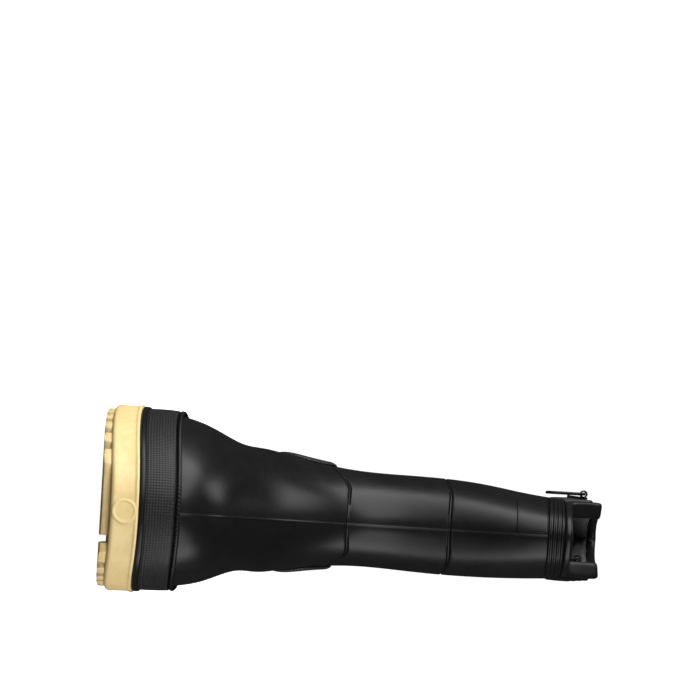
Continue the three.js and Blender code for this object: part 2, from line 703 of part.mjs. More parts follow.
function keeperPlace(outerSide) {
  const { point, angle } = rimAtLoop(outerSide);
  const clearOfRim = outerSide ? COLLAR_THICKNESS + COLLAR_RIB + 2 * GAP : liningInside - RIM_BEAD_PROUD;
  const extra = outerSide ? KEEPER_STAND_OFF.outer : KEEPER_STAND_OFF.inner;
  const standOff = KEEPER_PLATE / 2 + boreRadius + GAP + extra;
  const offset = outerSide ? clearOfRim + standOff : clearOfRim - standOff;
  const row = nudged(constant(1), -LOOP_BELOW_RIM);
  const centre = upperSurface(row(angle), angle, offset);
  return { centre, plateFrom: outerSide ? clearOfRim + GAP : clearOfRim - GAP, outerSide };
}

function buildKeeper(place) {
  const { centre, plateFrom, outerSide } = place;
  const plateTo = outerSide ? plateFrom + KEEPER_PLATE : plateFrom - KEEPER_PLATE;
  const rows = [upperLegRows[0], upperLegRows[1], collarRows[0]];
  const band = toManifold(layer(rows, Math.min(plateFrom, plateTo), Math.max(plateFrom, plateTo)));
  const near = outerSide ? [-FAR, 0] : [0, FAR];
  const start = LOOP_Y - KEEPER_LENGTH / 2;
  const low = centre.z - KEEPER_PLATE_HEIGHT;
  const window = block(near[0], start, low, near[1], start + KEEPER_LENGTH, centre.z + keeperRadius);
  const sleeve = toManifold(barAlongY(keeperRadius, KEEPER_LENGTH, centre.x, LOOP_Y, centre.z));
  const bore = toManifold(barAlongY(boreRadius, 2 * KEEPER_LENGTH, centre.x, LOOP_Y, centre.z));
  return fromManifold(band.intersect(toManifold(window)).add(sleeve).subtract(bore));
}

function buildLoop(place) {
  const { centre } = place;
  const front = LOOP_Y - LOOP_WIDTH / 2;
  const back = LOOP_Y + LOOP_WIDTH / 2;
  const top = centre.z + LOOP_STRAP / 2;
  const low = top - LOOP_LENGTH;
  const shape = roundedRectangle(new THREE.Shape(), front, low, back, top, LOOP_STRAP / 2);
  const hole = roundedRectangle(new THREE.Path(), front + LOOP_BAND, low + LOOP_BAND,
    back - LOOP_BAND, top - LOOP_STRAP, LOOP_CORNER - LOOP_BAND);
  shape.holes.push(hole);
  return prismAlongX(shape, centre.x - LOOP_STRAP / 2, centre.x + LOOP_STRAP / 2);
}

// ----------------------------------------------------------------------------------------------------
// Assembly

const FINISHES = {
  blackRubber: { color: 0x2c2c2d, roughness: 0.42, metalness: 0 },
  texturedRubber: { color: 0x3a3a3b, roughness: 0.62, metalness: 0 },
  creamRubber: { color: 0xe6cf97, roughness: 0.55, metalness: 0 },
  lining: { color: 0x2a2b2a, roughness: 0.95, metalness: 0 },
  insulation: { color: 0xb9a77c, roughness: 0.95, metalness: 0 },
  foam: { color: 0x6f6a5f, roughness: 0.9, metalness: 0 },
  board: { color: 0x8b6f4c, roughness: 0.85, metalness: 0 },
  steel: { color: 0x9ea3a8, roughness: 0.35, metalness: 1 },
};

const boot = new THREE.Group();

function addPart(name, geometry, finish) {
  const flat = geometry.index ? geometry : mergeVertices(geometry);
  const mesh = new THREE.Mesh(flat, new THREE.MeshStandardMaterial(FINISHES[finish]));
  mesh.name = name;
  boot.add(mesh);
}

const vamp = trimmedToWelt(ply(vampRows, -SHELL_WALL, 0));
const lowerLeg = ply([ankleSeam, ...lowerLegRows], -SHELL_WALL, 0);
const upperLeg = ply([shinSeam, ...upperLegRows, ...collarRows], -SHELL_WALL, 0);
const toeCap = clearOf(buildHardPart(toeRegion), vamp);
const heelCounter = clearOf(buildHardPart(heelRegion), vamp);
const insulation = clearOf(buildInsulation(), vamp, lowerLeg, upperLeg, toeCap, heelCounter);
const lining = clearOf(trimmedToWelt(ply(allRows, liningInside, liningOutside)), insulation);

addPart('outsole', buildOutsole(), 'creamRubber');
addPart('midsole_filler', buildFiller(), 'foam');
addPart('steel_shank', buildSteelShank(), 'steel');
addPart('puncture_plate', buildPlate(), 'steel');
addPart('welt', buildWelt(), 'blackRubber');
addPart('insole_board', buildBoard(), 'board');
addPart('footbed', buildFootbed(), 'foam');
addPart('vamp_shell', vamp, 'blackRubber');
addPart('lower_leg_shell', lowerLeg, 'blackRubber');
addPart('upper_leg_shell', upperLeg, 'blackRubber');
addPart('rand', trimmedToWelt(ply(randRows, GAP, GAP + RAND_THICKNESS)), 'texturedRubber');
addPart('rope_bead', buildRopeBead(), 'blackRubber');
addPart('collar_band', buildCollar(), 'blackRubber');
addPart('rim_bead', clearOf(buildRimBead(), upperLeg, insulation, lining), 'blackRubber');
addPart('ankle_guard_outer', buildAnkleGuard(-1), 'texturedRubber');
addPart('ankle_guard_inner', buildAnkleGuard(1), 'texturedRubber');
addPart('front_patch', buildFrontPatch(), 'blackRubber');
addPart('toe_cap', toeCap, 'steel');
addPart('heel_counter', heelCounter, 'board');
addPart('insulation', insulation, 'insulation');
addPart('fabric_lining', lining, 'lining');
for (const [side, outerSide] of [['outer', true], ['inner', false]]) {
  const place = keeperPlace(outerSide);
  addPart(`loop_keeper_${side}`, buildKeeper(place), 'blackRubber');
  addPart(`pull_loop_${side}`, buildLoop(place), 'blackRubber');
}

const bounds = new THREE.Box3().setFromObject(boot);
boot.position.set(-(bounds.min.x + bounds.max.x) / 2, -(bounds.min.y + bounds.max.y) / 2, -bounds.min.z);

export default boot;
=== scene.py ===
"""Looks of a pull-on rubber fire boot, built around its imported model.

The boot stands on z = 0 with its toe towards -Y and the outer side of the foot at -X. Every rubber ply
follows one loft, whose rows are tilted sections from the welt to the rim. Sizes are in millimetres until a
mesh is made in metres.
"""

import logging
import math
from dataclasses import dataclass, field
from enum import Enum
from typing import Any, Callable

import bmesh
import bpy
import numpy as np
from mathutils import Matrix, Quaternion, Vector


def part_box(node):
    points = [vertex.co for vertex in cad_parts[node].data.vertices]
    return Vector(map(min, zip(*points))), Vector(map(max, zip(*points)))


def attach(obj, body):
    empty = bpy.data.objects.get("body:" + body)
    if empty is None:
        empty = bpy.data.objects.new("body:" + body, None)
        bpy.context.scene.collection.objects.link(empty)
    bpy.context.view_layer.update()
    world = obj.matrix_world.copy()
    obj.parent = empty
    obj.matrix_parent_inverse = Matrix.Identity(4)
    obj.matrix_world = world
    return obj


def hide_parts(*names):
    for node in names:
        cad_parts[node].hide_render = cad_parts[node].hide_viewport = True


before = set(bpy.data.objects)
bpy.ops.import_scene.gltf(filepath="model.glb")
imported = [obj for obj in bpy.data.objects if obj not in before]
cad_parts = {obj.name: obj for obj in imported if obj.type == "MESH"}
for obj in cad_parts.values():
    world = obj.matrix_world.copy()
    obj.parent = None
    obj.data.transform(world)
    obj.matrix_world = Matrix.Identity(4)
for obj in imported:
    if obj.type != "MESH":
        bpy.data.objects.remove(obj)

log = logging.getLogger("fire_boot")

Array = np.ndarray
Profile = tuple[tuple[float, float, float], ...]

MM = 0.001
TAU = 2 * math.pi
TINY = 1e-3
GAP = 0.3
SEED = 14
DENSE_TURN = 8000
NEWTON_STEPS = 12
LONGEST_CLIMB = 0.05
LONGEST_TURN = 0.3
SWEEP_STEPS = 8


class Side(Enum):
    """Side of the foot: the sign is that of X."""

    OUTER = -1
    INNER = 1


class Slot(Enum):
    """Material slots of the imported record."""

    CREAM = "cream_rubber"
    BLACK = "black_rubber"
    TEXTURED = "textured_rubber"
    STRAP = "strap_rubber"
    SPONGE = "sponge_rubber"
    STEEL = "steel"
    BOARD = "fibre_board"
    FELT = "felt"
    LINING = "lining_cloth"


# ----------------------------------------------------------------------------------------------------
# Curves and the loft


def smooth_through(values: list[float]) -> Callable[[Array], Array]:
    """Makes a curve with continuous curvature through evenly spaced values.

    The second derivatives solve the usual tridiagonal system, with none at the two ends.

    Args:
        values: heights of the curve at evenly spaced places from 0 to 1.

    Returns:
        A function that takes an array of places and gives the heights there.
    """
    heights = np.asarray(values, float)
    last = len(heights) - 1
    system = np.eye(last + 1)
    right = np.zeros(last + 1)
    inner = np.arange(1, last)
    system[inner, inner - 1] = 1
    system[inner, inner] = 4
    system[inner, inner + 1] = 1
    right[inner] = 6 * (heights[inner - 1] - 2 * heights[inner] + heights[inner + 1])
    bend = np.linalg.solve(system, right)

    def curve(place: Array) -> Array:
        """Cubic between the two nearest values, bent by their second derivatives."""
        i = np.clip(np.floor(np.asarray(place) * last), 0, last - 1).astype(int)
        b = place * last - i
        a = 1 - b
        bent = ((a**3 - a) * bend[i] + (b**3 - b) * bend[i + 1]) / 6
        return a * heights[i] + b * heights[i + 1] + bent

    return curve


def smooth_step(start: float, end: float, x: Array) -> Array:
    """Rises from 0 at start to 1 at end with level ends."""
    s = np.clip((x - start) / (end - start), 0, 1)
    return s * s * (3 - 2 * s)


def mix(a: Array, b: Array, share: Array) -> Array:
    """Straight mix of a and b."""
    return a + (b - a) * share


def unit_outline(angle: Array, roundness: Array) -> tuple[Array, Array, Array]:
    """Superellipse of half size 1: angle 0 is the toe, a quarter turn the outer side, a half turn the heel.

    Args:
        angle: turns round the outline, in radians.
        roundness: exponent of the superellipse, 2 for an ellipse.

    Returns:
        Place along the boot from -1 to 1, share of the half width, and whether it is on the outer side.
    """
    c = np.cos(angle)
    s = np.sin(angle)
    power = 2 / roundness
    return -np.sign(c) * np.abs(c) ** power, np.abs(s) ** power, s > 0


@dataclass(frozen=True)
class Level:
    """One section of the loft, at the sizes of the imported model."""

    front_y: float
    front_z: float
    back_y: float
    back_z: float
    outer: float
    inner: float
    foot: float
    roundness: float
    dip: float


@dataclass
class BootForm:
    """Form of the sole and the loft of the upper, in millimetres round the moulding plane x = 0."""

    half_length: float = 162.5
    outer_half_width: float = 75
    inner_half_width: float = 56.2
    sole_roundness: float = 2.65
    outer_shape: tuple[float, ...] = (0.8, 0.97, 1.0, 0.86, 0.76, 0.7)
    inner_shape: tuple[float, ...] = (1.02, 1.05, 0.99, 0.8, 0.88, 0.88)
    sole_thickness: float = 24
    lug_depth: float = 5
    toe_spring: float = 9.5
    toe_spring_start: float = -45
    heel_rise: float = 12
    heel_rise_from: float = -10
    heel_rise_to: float = 80
    arch_recess: float = 4
    arch_middle: float = 28
    arch_half_length: float = 42
    welt_thickness: float = 4
    upper_inset: float = 5
    rand_height: float = 20
    boot_height: float = 355
    front_height: float = 331
    rim_step: tuple[float, float] = (0.34, 0.52)
    rim_step_from: float = 0.85
    leg: tuple[Level, ...] = (
        Level(-147, 77, 153, 77, 63, 46, 1, 2.6, 0.55),
        Level(-121, 94, 150.5, 94, 53.3, 38.2, 0.9, 2.4, 0.15),
        Level(-73, 107, 147.5, 113, 51.2, 38.8, 0.6, 2.25, 0),
        Level(-26, 132, 143, 139, 46, 34.5, 0.2, 2.1, 0),
        Level(6, 174, 141, 176, 40, 30.4, 0, 2.15, 0),
        Level(9, 220, 146, 222, 38.5, 32.2, 0, 2.2, 0),
        Level(1, 262, 153, 268, 35.6, 33.4, 0, 2.2, 0),
        Level(-8, 298, 158, 312, 29.4, 32, 0, 2.2, 0),
    )
    rim: Level = Level(-13, 331, 160, 355, 25.2, 28, 0, 2.25, 0)
    ankle_seam_at: tuple[float, float] = (0.59, 0.07)
    shin_seam_at: tuple[float, float] = (0.755, 0.03)
    collar_start: float = 0.945
    bead_start: float = 0.984
    rand_lean: tuple[float, float] = (1.5, 0.5)
    rand_narrowing: float = 0.7
    rand_dip: float = 0.95
    origin: Vector = field(default_factory=lambda: Vector((0, 0, 0)))

    def __post_init__(self) -> None:
        """Works out the curves that the levels lie on."""
        self.outer_curve = smooth_through(list(self.outer_shape))
        self.inner_curve = smooth_through(list(self.inner_shape))
        along, across, _ = unit_outline(np.linspace(0, math.pi, 201), self.sole_roundness)
        place = (along + 1) / 2
        self.outer_peak = float((self.outer_curve(place) * across).max())
        self.inner_peak = float((self.inner_curve(place) * across).max())
        self.base_z = self.welt_thickness + 2 * GAP
        front, back = self.upper_inset - self.half_length, self.half_length - self.upper_inset
        base = Level(
            front,
            float(self.sole_top(front)) + self.base_z,
            back,
            float(self.sole_top(back)) + self.base_z,
            self.outer_half_width - self.upper_inset,
            self.inner_half_width - self.upper_inset,
            1,
            self.sole_roundness,
            1,
        )
        rand_top = Level(
            front + self.rand_lean[0],
            base.front_z + self.rand_height,
            back - self.rand_lean[1],
            base.back_z + self.rand_height,
            base.outer - self.rand_narrowing,
            base.inner - self.rand_narrowing,
            1,
            self.sole_roundness,
            self.rand_dip,
        )
        self.base = base
        levels = (base, rand_top, *self.leg, self.rim)
        self.rand_top = 1 / (len(levels) - 1)
        self.curves = {key: smooth_through([getattr(level, key) for level in levels]) for key in vars(base)}

    def spring(self, y: Array) -> Array:
        """How far the ground line has left the floor: a parabola from the ball to the toe."""
        share = (self.toe_spring_start - y) / (self.toe_spring_start + self.half_length)
        return self.toe_spring * np.clip(share, 0, 1) ** 2

    def sole_top(self, y: Array) -> Array:
        """Height of the top of the outsole."""
        rise = self.heel_rise * smooth_step(self.heel_rise_from, self.heel_rise_to, y)
        return self.sole_thickness + self.spring(y) + rise

    def sole_bottom(self, y: Array) -> Array:
        """Height of the sole between the lugs."""
        reach = np.abs(y - self.arch_middle) / self.arch_half_length
        return self.spring(y) + self.lug_depth + self.arch_recess * (1 - smooth_step(0.5, 1, reach))

    def half_width(self, place: Array, outer_side: Array) -> Array:
        """Share of the greatest half width.

        Args:
            place: place along the boot, 0 at the toe and 1 at the heel.
            outer_side: whether each point is on the outer side.

        Returns:
            Array of shares.
        """
        outer = self.outer_curve(place) / self.outer_peak
        inner = self.inner_curve(place) / self.inner_peak
        return np.where(outer_side, outer, inner)

    def sole_edge(self, angle: Array, grow: Array) -> Array:
        """Points of the sole's outline seen from above, moved outwards along its normal.

        Args:
            angle: turns round the outline.
            grow: distance to move, in millimetres.

        Returns:
            Array of x and y, with a last axis of length 2.
        """

        def at(a: Array) -> Array:
            """Points of the plain outline at the angles."""
            along, across, outer_side = unit_outline(a, self.sole_roundness)
            width = np.where(outer_side, -self.outer_half_width, self.inner_half_width)
            half = width * self.half_width((along + 1) / 2, outer_side) * across
            return np.stack([half, self.half_length * along], axis=-1)

        tangent = at(angle + TINY) - at(angle - TINY)
        tangent /= np.linalg.norm(tangent, axis=-1, keepdims=True)
        outward = np.stack([-tangent[..., 1], tangent[..., 0]], axis=-1)
        return at(angle) + outward * np.asarray(grow)[..., None]

    def point(self, t: Array, angle: Array) -> Array:
        """Point of the loft: a rounded outline in a tilted plane, which dips to follow the sole.

        The height gets a step where the rim falls from the back to the front.

        Args:
            t: place up the loft, 0 at the welt and 1 at the rim.
            angle: turns round the boot, 0 at the toe.

        Returns:
            Array of points, with a last axis of length 3.
        """
        t, angle = np.broadcast_arrays(np.asarray(t, float), np.asarray(angle, float))
        level = {key: curve(t) for key, curve in self.curves.items()}
        along, across, outer_side = unit_outline(angle, level["roundness"])
        v = (along + 1) / 2
        shape = mix(1, self.half_width(v, outer_side), level["foot"])
        half = np.where(outer_side, -level["outer"], level["inner"]) * shape * across
        rise = (self.boot_height - self.front_height) * smooth_step(self.rim_step_from, 1, t)
        step = rise * (smooth_step(*self.rim_step, v) - v)
        straight = mix(self.base.front_z, self.base.back_z, v)
        dip = self.sole_top(mix(self.base.front_y, self.base.back_y, v)) + self.base_z - straight
        z = mix(level["front_z"], level["back_z"], v) + level["dip"] * dip + step
        return np.stack([half, mix(level["front_y"], level["back_y"], v), z], axis=-1)

    def surface(self, t: Array, angle: Array, offset: Array, climb: Array = 0.0) -> Array:
        """Point of the loft moved up along it by climb and outwards along its normal by offset.

        Args:
            t: place up the loft.
            angle: turns round the boot.
            offset: distance out of the surface, in millimetres.
            climb: distance up the surface, in millimetres.

        Returns:
            Array of points, with a last axis of length 3.
        """
        t = np.asarray(t, float) + np.asarray(climb) / self.speed(t, angle)
        around = self.point(t, angle + TINY) - self.point(t, angle - TINY)
        up = self.point(t + TINY, angle) - self.point(t - TINY, angle)
        normal = np.cross(up, around)
        normal /= np.linalg.norm(normal, axis=-1, keepdims=True)
        return self.point(t, angle) + normal * np.asarray(offset)[..., None]

    def speed(self, t: Array, angle: Array) -> Array:
        """Millimetres travelled per unit of t."""
        step = self.point(np.asarray(t) + TINY, angle) - self.point(np.asarray(t) - TINY, angle)
        return np.linalg.norm(step, axis=-1) / (2 * TINY)

    def toe_to_heel(self, stations: int, fineness: int) -> Array:
        """Angles from 0 to a half turn whose points lie evenly spaced along one side of the welt.

        Args:
            stations: how many.
            fineness: points round the whole boot that the spacing is measured with.

        Returns:
            The angles.
        """
        dense, _ = self.even_angles(0.0, fineness)
        side = dense[dense <= math.pi]
        angle = np.interp(np.linspace(0, len(side) - 1, stations), np.arange(len(side)), side)
        angle[0], angle[-1] = 0, math.pi
        return angle

    def sole_sections(self, angle: Array, profile: Profile, across: int) -> Array:
        """Closed section at each angle: the profile on the outer side, across, the profile back, across.

        Args:
            angle: angles from the toe to the heel.
            profile: distance outside the sole's edge, share of the height from its underside to its top, and
                rise above that, for each point.
            across: points between the two sides.

        Returns:
            Array with a row of points for each angle.
        """

        def half(side: int) -> Array:
            """The profile's points at every angle on one side, 1 for the outer one."""
            rows = []
            for grow, share, lift in profile:
                edge = self.sole_edge(side * angle, np.full_like(angle, grow))
                y = edge[:, 1]
                z = mix(self.sole_bottom(y), self.sole_top(y), share) + lift
                rows.append(np.stack([edge[:, 0], y, z], axis=-1))
            return np.stack(rows, axis=1)

        outer, inner = half(1), half(-1)
        share = np.linspace(0, 1, across + 2)[1:-1][None, :, None]
        onward = outer[:, None, -1] + (inner[:, None, -1] - outer[:, None, -1]) * share
        back = inner[:, None, 0] + (outer[:, None, 0] - inner[:, None, 0]) * share
        return np.concatenate([outer, onward, inner[:, ::-1], back], axis=1)

    def corners(self, node: str) -> tuple[Array, Array]:
        """Lowest and highest corner of a CAD node, in millimetres round the moulding plane.

        Args:
            node: the node's name.

        Returns:
            The two corners.
        """
        low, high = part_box(node)
        origin = np.array(self.origin) / MM
        return np.array(low) / MM - origin, np.array(high) / MM - origin

    def even_angles(self, t: float, count: int) -> tuple[Array, Array]:
        """Angles whose points lie evenly spaced round the boot at one height.

        Args:
            t: place up the loft where the spacing is even.
            count: how many.

        Returns:
            The angles, and the distance of each point from the toe, in millimetres.
        """
        dense = np.linspace(0, TAU, DENSE_TURN + 1)
        ring = self.point(np.full_like(dense, t), dense)
        travel = np.concatenate([[0], np.cumsum(np.linalg.norm(np.diff(ring, axis=0), axis=1))])
        distance = np.arange(count) * travel[-1] / count
        return np.interp(distance, travel, dense), np.minimum(distance, travel[-1] - distance)

    def seam(self, at: tuple[float, float], angle: Array) -> Array:
        """Place of a seam that is level in front, turns down at the sides and falls on to the back.

        Args:
            at: place in front, and how far down the seam is at the back.
            angle: turns round the boot.

        Returns:
            Array of places up the loft.
        """
        turned = math.pi - np.abs(np.asarray(angle) % TAU - math.pi)
        fall = smooth_step(0.6, 1.5, turned) + smooth_step(1.5, 2.6, turned)
        return at[0] - at[1] * 0.5 * fall

    def locate(
        self, start: tuple[float, float], wanted: Array, axes: tuple[int, int]
    ) -> tuple[Array, Array]:
        """Finds the loft places whose points have the wanted coordinates on two axes, by Newton's method.

        Args:
            start: first guess of t and angle.
            wanted: array of coordinate pairs, with a last axis of length 2.
            axes: the two axes, 0 for X, 1 for Y and 2 for Z.

        Returns:
            Arrays of t and of angle.
        """
        t = np.full(wanted.shape[:-1], start[0])
        angle = np.full(wanted.shape[:-1], start[1])
        for _ in range(NEWTON_STEPS):
            here = self.point(t, angle)[..., axes]
            by_t = (self.point(t + TINY, angle)[..., axes] - here) / TINY
            by_angle = (self.point(t, angle + TINY)[..., axes] - here) / TINY
            miss = wanted - here
            size = by_t[..., 0] * by_angle[..., 1] - by_t[..., 1] * by_angle[..., 0]
            climb = (miss[..., 0] * by_angle[..., 1] - miss[..., 1] * by_angle[..., 0]) / size
            turn = (by_t[..., 0] * miss[..., 1] - by_t[..., 1] * miss[..., 0]) / size
            t = t + np.clip(climb, -LONGEST_CLIMB, LONGEST_CLIMB)
            angle = angle + np.clip(turn, -LONGEST_TURN, LONGEST_TURN)
        return t, angle


# ----------------------------------------------------------------------------------------------------
# Meshes


def grid_faces(rows: int, columns: int, close_rows: bool, close_columns: bool) -> Array:
    """Quads of a grid of points numbered row by row.

    Args:
        rows: number of rows.
        columns: number of points in a row.
        close_rows: whether the last row joins the first.
        close_columns: whether each row is a loop.

    Returns:
        Array of four point numbers per quad.
    """
    i = np.arange(rows if close_rows else rows - 1)[:, None]
    j = np.arange(columns if close_columns else columns - 1)[None, :]
    here = i * columns + j
    right = i * columns + (j + 1) % columns
    up = ((i + 1) % rows) * columns + j
    both = ((i + 1) % rows) * columns + (j + 1) % columns
    return np.stack([here, right, both, up], axis=-1).reshape(-1, 4)


def signed_volume(points: Array, faces: Array) -> float:
    """Sum of the signed tetrahedra between the quads and the origin, times six.

    Args:
        points: array of points.
        faces: array of quads.

    Returns:
        A number that is negative where the quads face inwards.
    """
    a, b, c, d = (points[faces[:, k]] for k in range(4))
    first = np.einsum("ij,ij->", a, np.cross(b, c))
    return float(first + np.einsum("ij,ij->", a, np.cross(c, d)))


@dataclass
class Workshop:
    """Makes meshes in the frame, dresses them and puts them on their bodies."""

    form: BootForm
    finishes: dict[Slot, bpy.types.Material]

    def piece(
        self,
        name: str,
        points: Array,
        faces: Array,
        slot: Slot,
        stands_for: tuple[str, ...],
        body: str = "boot",
        uv: Array | None = None,
    ) -> bpy.types.Object:
        """Makes one closed piece, turns its faces outwards and lets it ride on its body.

        Args:
            name: the piece's name.
            points: array of points in millimetres round the moulding plane.
            faces: array of quads; a triangle repeats its last point.
            slot: the record's material slot, which also says the finish.
            stands_for: CAD nodes that it replaces.
            body: the body that it rides on.
            uv: two coordinates per point, in millimetres.

        Returns:
            The new object.
        """
        points = points.reshape(-1, 3)
        if signed_volume(points, faces) < 0:
            faces = faces[:, ::-1]
        mesh = bpy.data.meshes.new(name)
        mesh.vertices.add(len(points))
        placed = points * MM + np.array(self.form.origin)
        mesh.vertices.foreach_set("co", placed.astype(np.float32).ravel())
        doubled = (faces == np.roll(faces, 1, axis=1)).any(axis=1)
        loops = np.concatenate([faces[~doubled].ravel(), self.triangles(faces[doubled]).ravel()])
        counts = np.concatenate([np.full((~doubled).sum(), 4), np.full(doubled.sum(), 3)])
        mesh.loops.add(len(loops))
        mesh.loops.foreach_set("vertex_index", loops.astype(np.int32))
        mesh.polygons.add(len(counts))
        starts = np.concatenate([[0], np.cumsum(counts)[:-1]])
        mesh.polygons.foreach_set("loop_start", starts.astype(np.int32))
        if uv is not None:
            layer = mesh.uv_layers.new(name="surface")
            layer.data.foreach_set("uv", uv.reshape(-1, 2)[loops].astype(np.float32).ravel())
        mesh.update(calc_edges=True)
        mesh.polygons.foreach_set("use_smooth", np.ones(len(counts), bool))
        mesh.materials.append(self.finishes[slot])
        made = bpy.data.objects.new(name, mesh)
        bpy.context.scene.collection.objects.link(made)
        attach(made, body)
        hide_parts(*stands_for)
        log.info("%s: %d faces", name, len(counts))
        return made

    @staticmethod
    def triangles(faces: Array) -> Array:
        """Drops the repeated point of each quad that is really a triangle."""
        keep = faces != np.roll(faces, 1, axis=1)
        return faces[keep].reshape(-1, 3)

    def ring(
        self,
        name: str,
        t: Array,
        angle: Array,
        offset: Array,
        climb: Array,
        slot: Slot,
        stands_for: tuple[str, ...],
        distance: Array,
    ) -> bpy.types.Object:
        """Makes a ring whose section is a closed loop of places on the loft.

        Args:
            name: the piece's name.
            t: places up the loft, one row per corner of the section and one column per angle.
            angle: the angles.
            offset: distances out of the loft, shaped like t.
            climb: distances up the loft, shaped like t.
            slot: the record's material slot.
            stands_for: CAD nodes that it replaces.
            distance: distance of each column from the toe, for the piece's UV map.

        Returns:
            The new object.
        """
        t, offset, climb = (np.broadcast_to(a, (len(t), len(angle))) for a in (t, offset, climb))
        points = self.form.surface(t, angle[None, :], offset, climb)
        height = t * self.form.speed(t, angle[None, :]) + climb
        uv = np.stack([np.broadcast_to(distance, t.shape), height], axis=-1)
        return self.piece(name, points, grid_faces(*t.shape, True, True), slot, stands_for, uv=uv)

    def pad(
        self, name: str, top: Array, bottom: Array, slot: Slot, stands_for: tuple[str, ...]
    ) -> bpy.types.Object:
        """Makes a closed plate from two grids of points that share their edge.

        Args:
            name: the piece's name.
            top: grid of points of the upper face.
            bottom: grid of points of the lower face.
            slot: the record's material slot.
            stands_for: CAD nodes that it replaces.

        Returns:
            The new object.
        """
        rows, columns = top.shape[:2]
        number = np.arange(rows * columns).reshape(rows, columns)
        border = np.concatenate([number[0, :-1], number[:-1, -1], number[-1, :0:-1], number[:0:-1, 0]])
        upper = grid_faces(rows, columns, False, False)
        count = rows * columns
        following = np.roll(border, -1)
        wall = np.stack([border, border + count, following + count, following], axis=1)
        faces = np.concatenate([upper, upper[:, ::-1] + count, wall])
        points = np.concatenate([top.reshape(-1, 3), bottom.reshape(-1, 3)])
        return self.piece(name, points, faces, slot, stands_for)


def waves(t: Array, angle: Array, height: float, seed: int, turns: int = 5, climbs: float = 7) -> Array:
    """Slow unevenness of a hand-laid ply: a sum of sines round and up the boot.

    Args:
        t: places up the loft.
        angle: turns round the boot.
        height: greatest height, in millimetres.
        seed: which unevenness.
        turns: most waves round the boot.
        climbs: most half waves up the boot.

    Returns:
        Array of heights.
    """
    draw = np.random.default_rng(SEED + seed)
    total = 0.0
    count = 9
    for _ in range(count):
        m = draw.integers(1, turns + 1)
        n = draw.uniform(1.5, climbs)
        around = np.sin(m * angle + draw.uniform(0, TAU))
        total = total + around * np.sin(n * math.pi * t + draw.uniform(0, TAU))
    return height * total / math.sqrt(count)


# ----------------------------------------------------------------------------------------------------
# Finishes


MIX_SHARE, MIX_LOW, MIX_HIGH, MIX_COLOUR = "0", "6", "7", 2


def linear(code: str) -> tuple[float, float, float, float]:
    """Linear colour of a six-digit code.

    Args:
        code: two hexadecimal digits each for red, green and blue.

    Returns:
        Red, green, blue and an alpha of 1.
    """
    parts = [int(code[k : k + 2], 16) / 255 for k in (0, 2, 4)]
    return (*(((p + 0.055) / 1.055) ** 2.4 if p > 0.04045 else p / 12.92 for p in parts), 1.0)


@dataclass(frozen=True)
class Term:
    """A value of a node tree that arithmetic can be done with."""

    sheet: "Sheet"
    socket: bpy.types.NodeSocket

    def math(self, operation: str, *others: "Term | float") -> "Term":
        """Applies a maths node to this value and the others."""
        values = {str(i): value for i, value in enumerate((self, *others))}
        return self.sheet.out("ShaderNodeMath", {"operation": operation}, values)

    def __add__(self, other: "Term | float") -> "Term":
        """Sum."""
        return self.math("ADD", other)

    def __radd__(self, other: float) -> "Term":
        """Sum with a number on the left."""
        return self.math("ADD", other)

    def __sub__(self, other: "Term | float") -> "Term":
        """Difference."""
        return self.math("SUBTRACT", other)

    def __rsub__(self, other: float) -> "Term":
        """Number less this value."""
        return (self * -1).math("ADD", other)

    def __mul__(self, other: "Term | float") -> "Term":
        """Product."""
        return self.math("MULTIPLY", other)

    def __rmul__(self, other: float) -> "Term":
        """Product with a number on the left."""
        return self.math("MULTIPLY", other)

    def sine(self) -> "Term":
        """Sine of this value in radians."""
        return self.math("SINE")

    def size(self) -> "Term":
        """This value without its sign."""
        return self.math("ABSOLUTE")

    def rise(self, start: float, end: float) -> "Term":
        """Goes smoothly from 0 at start to 1 at end."""
        values = {"Value": self, "From Min": start, "From Max": end}
        return self.sheet.out("ShaderNodeMapRange", {"interpolation_type": "SMOOTHSTEP"}, values)


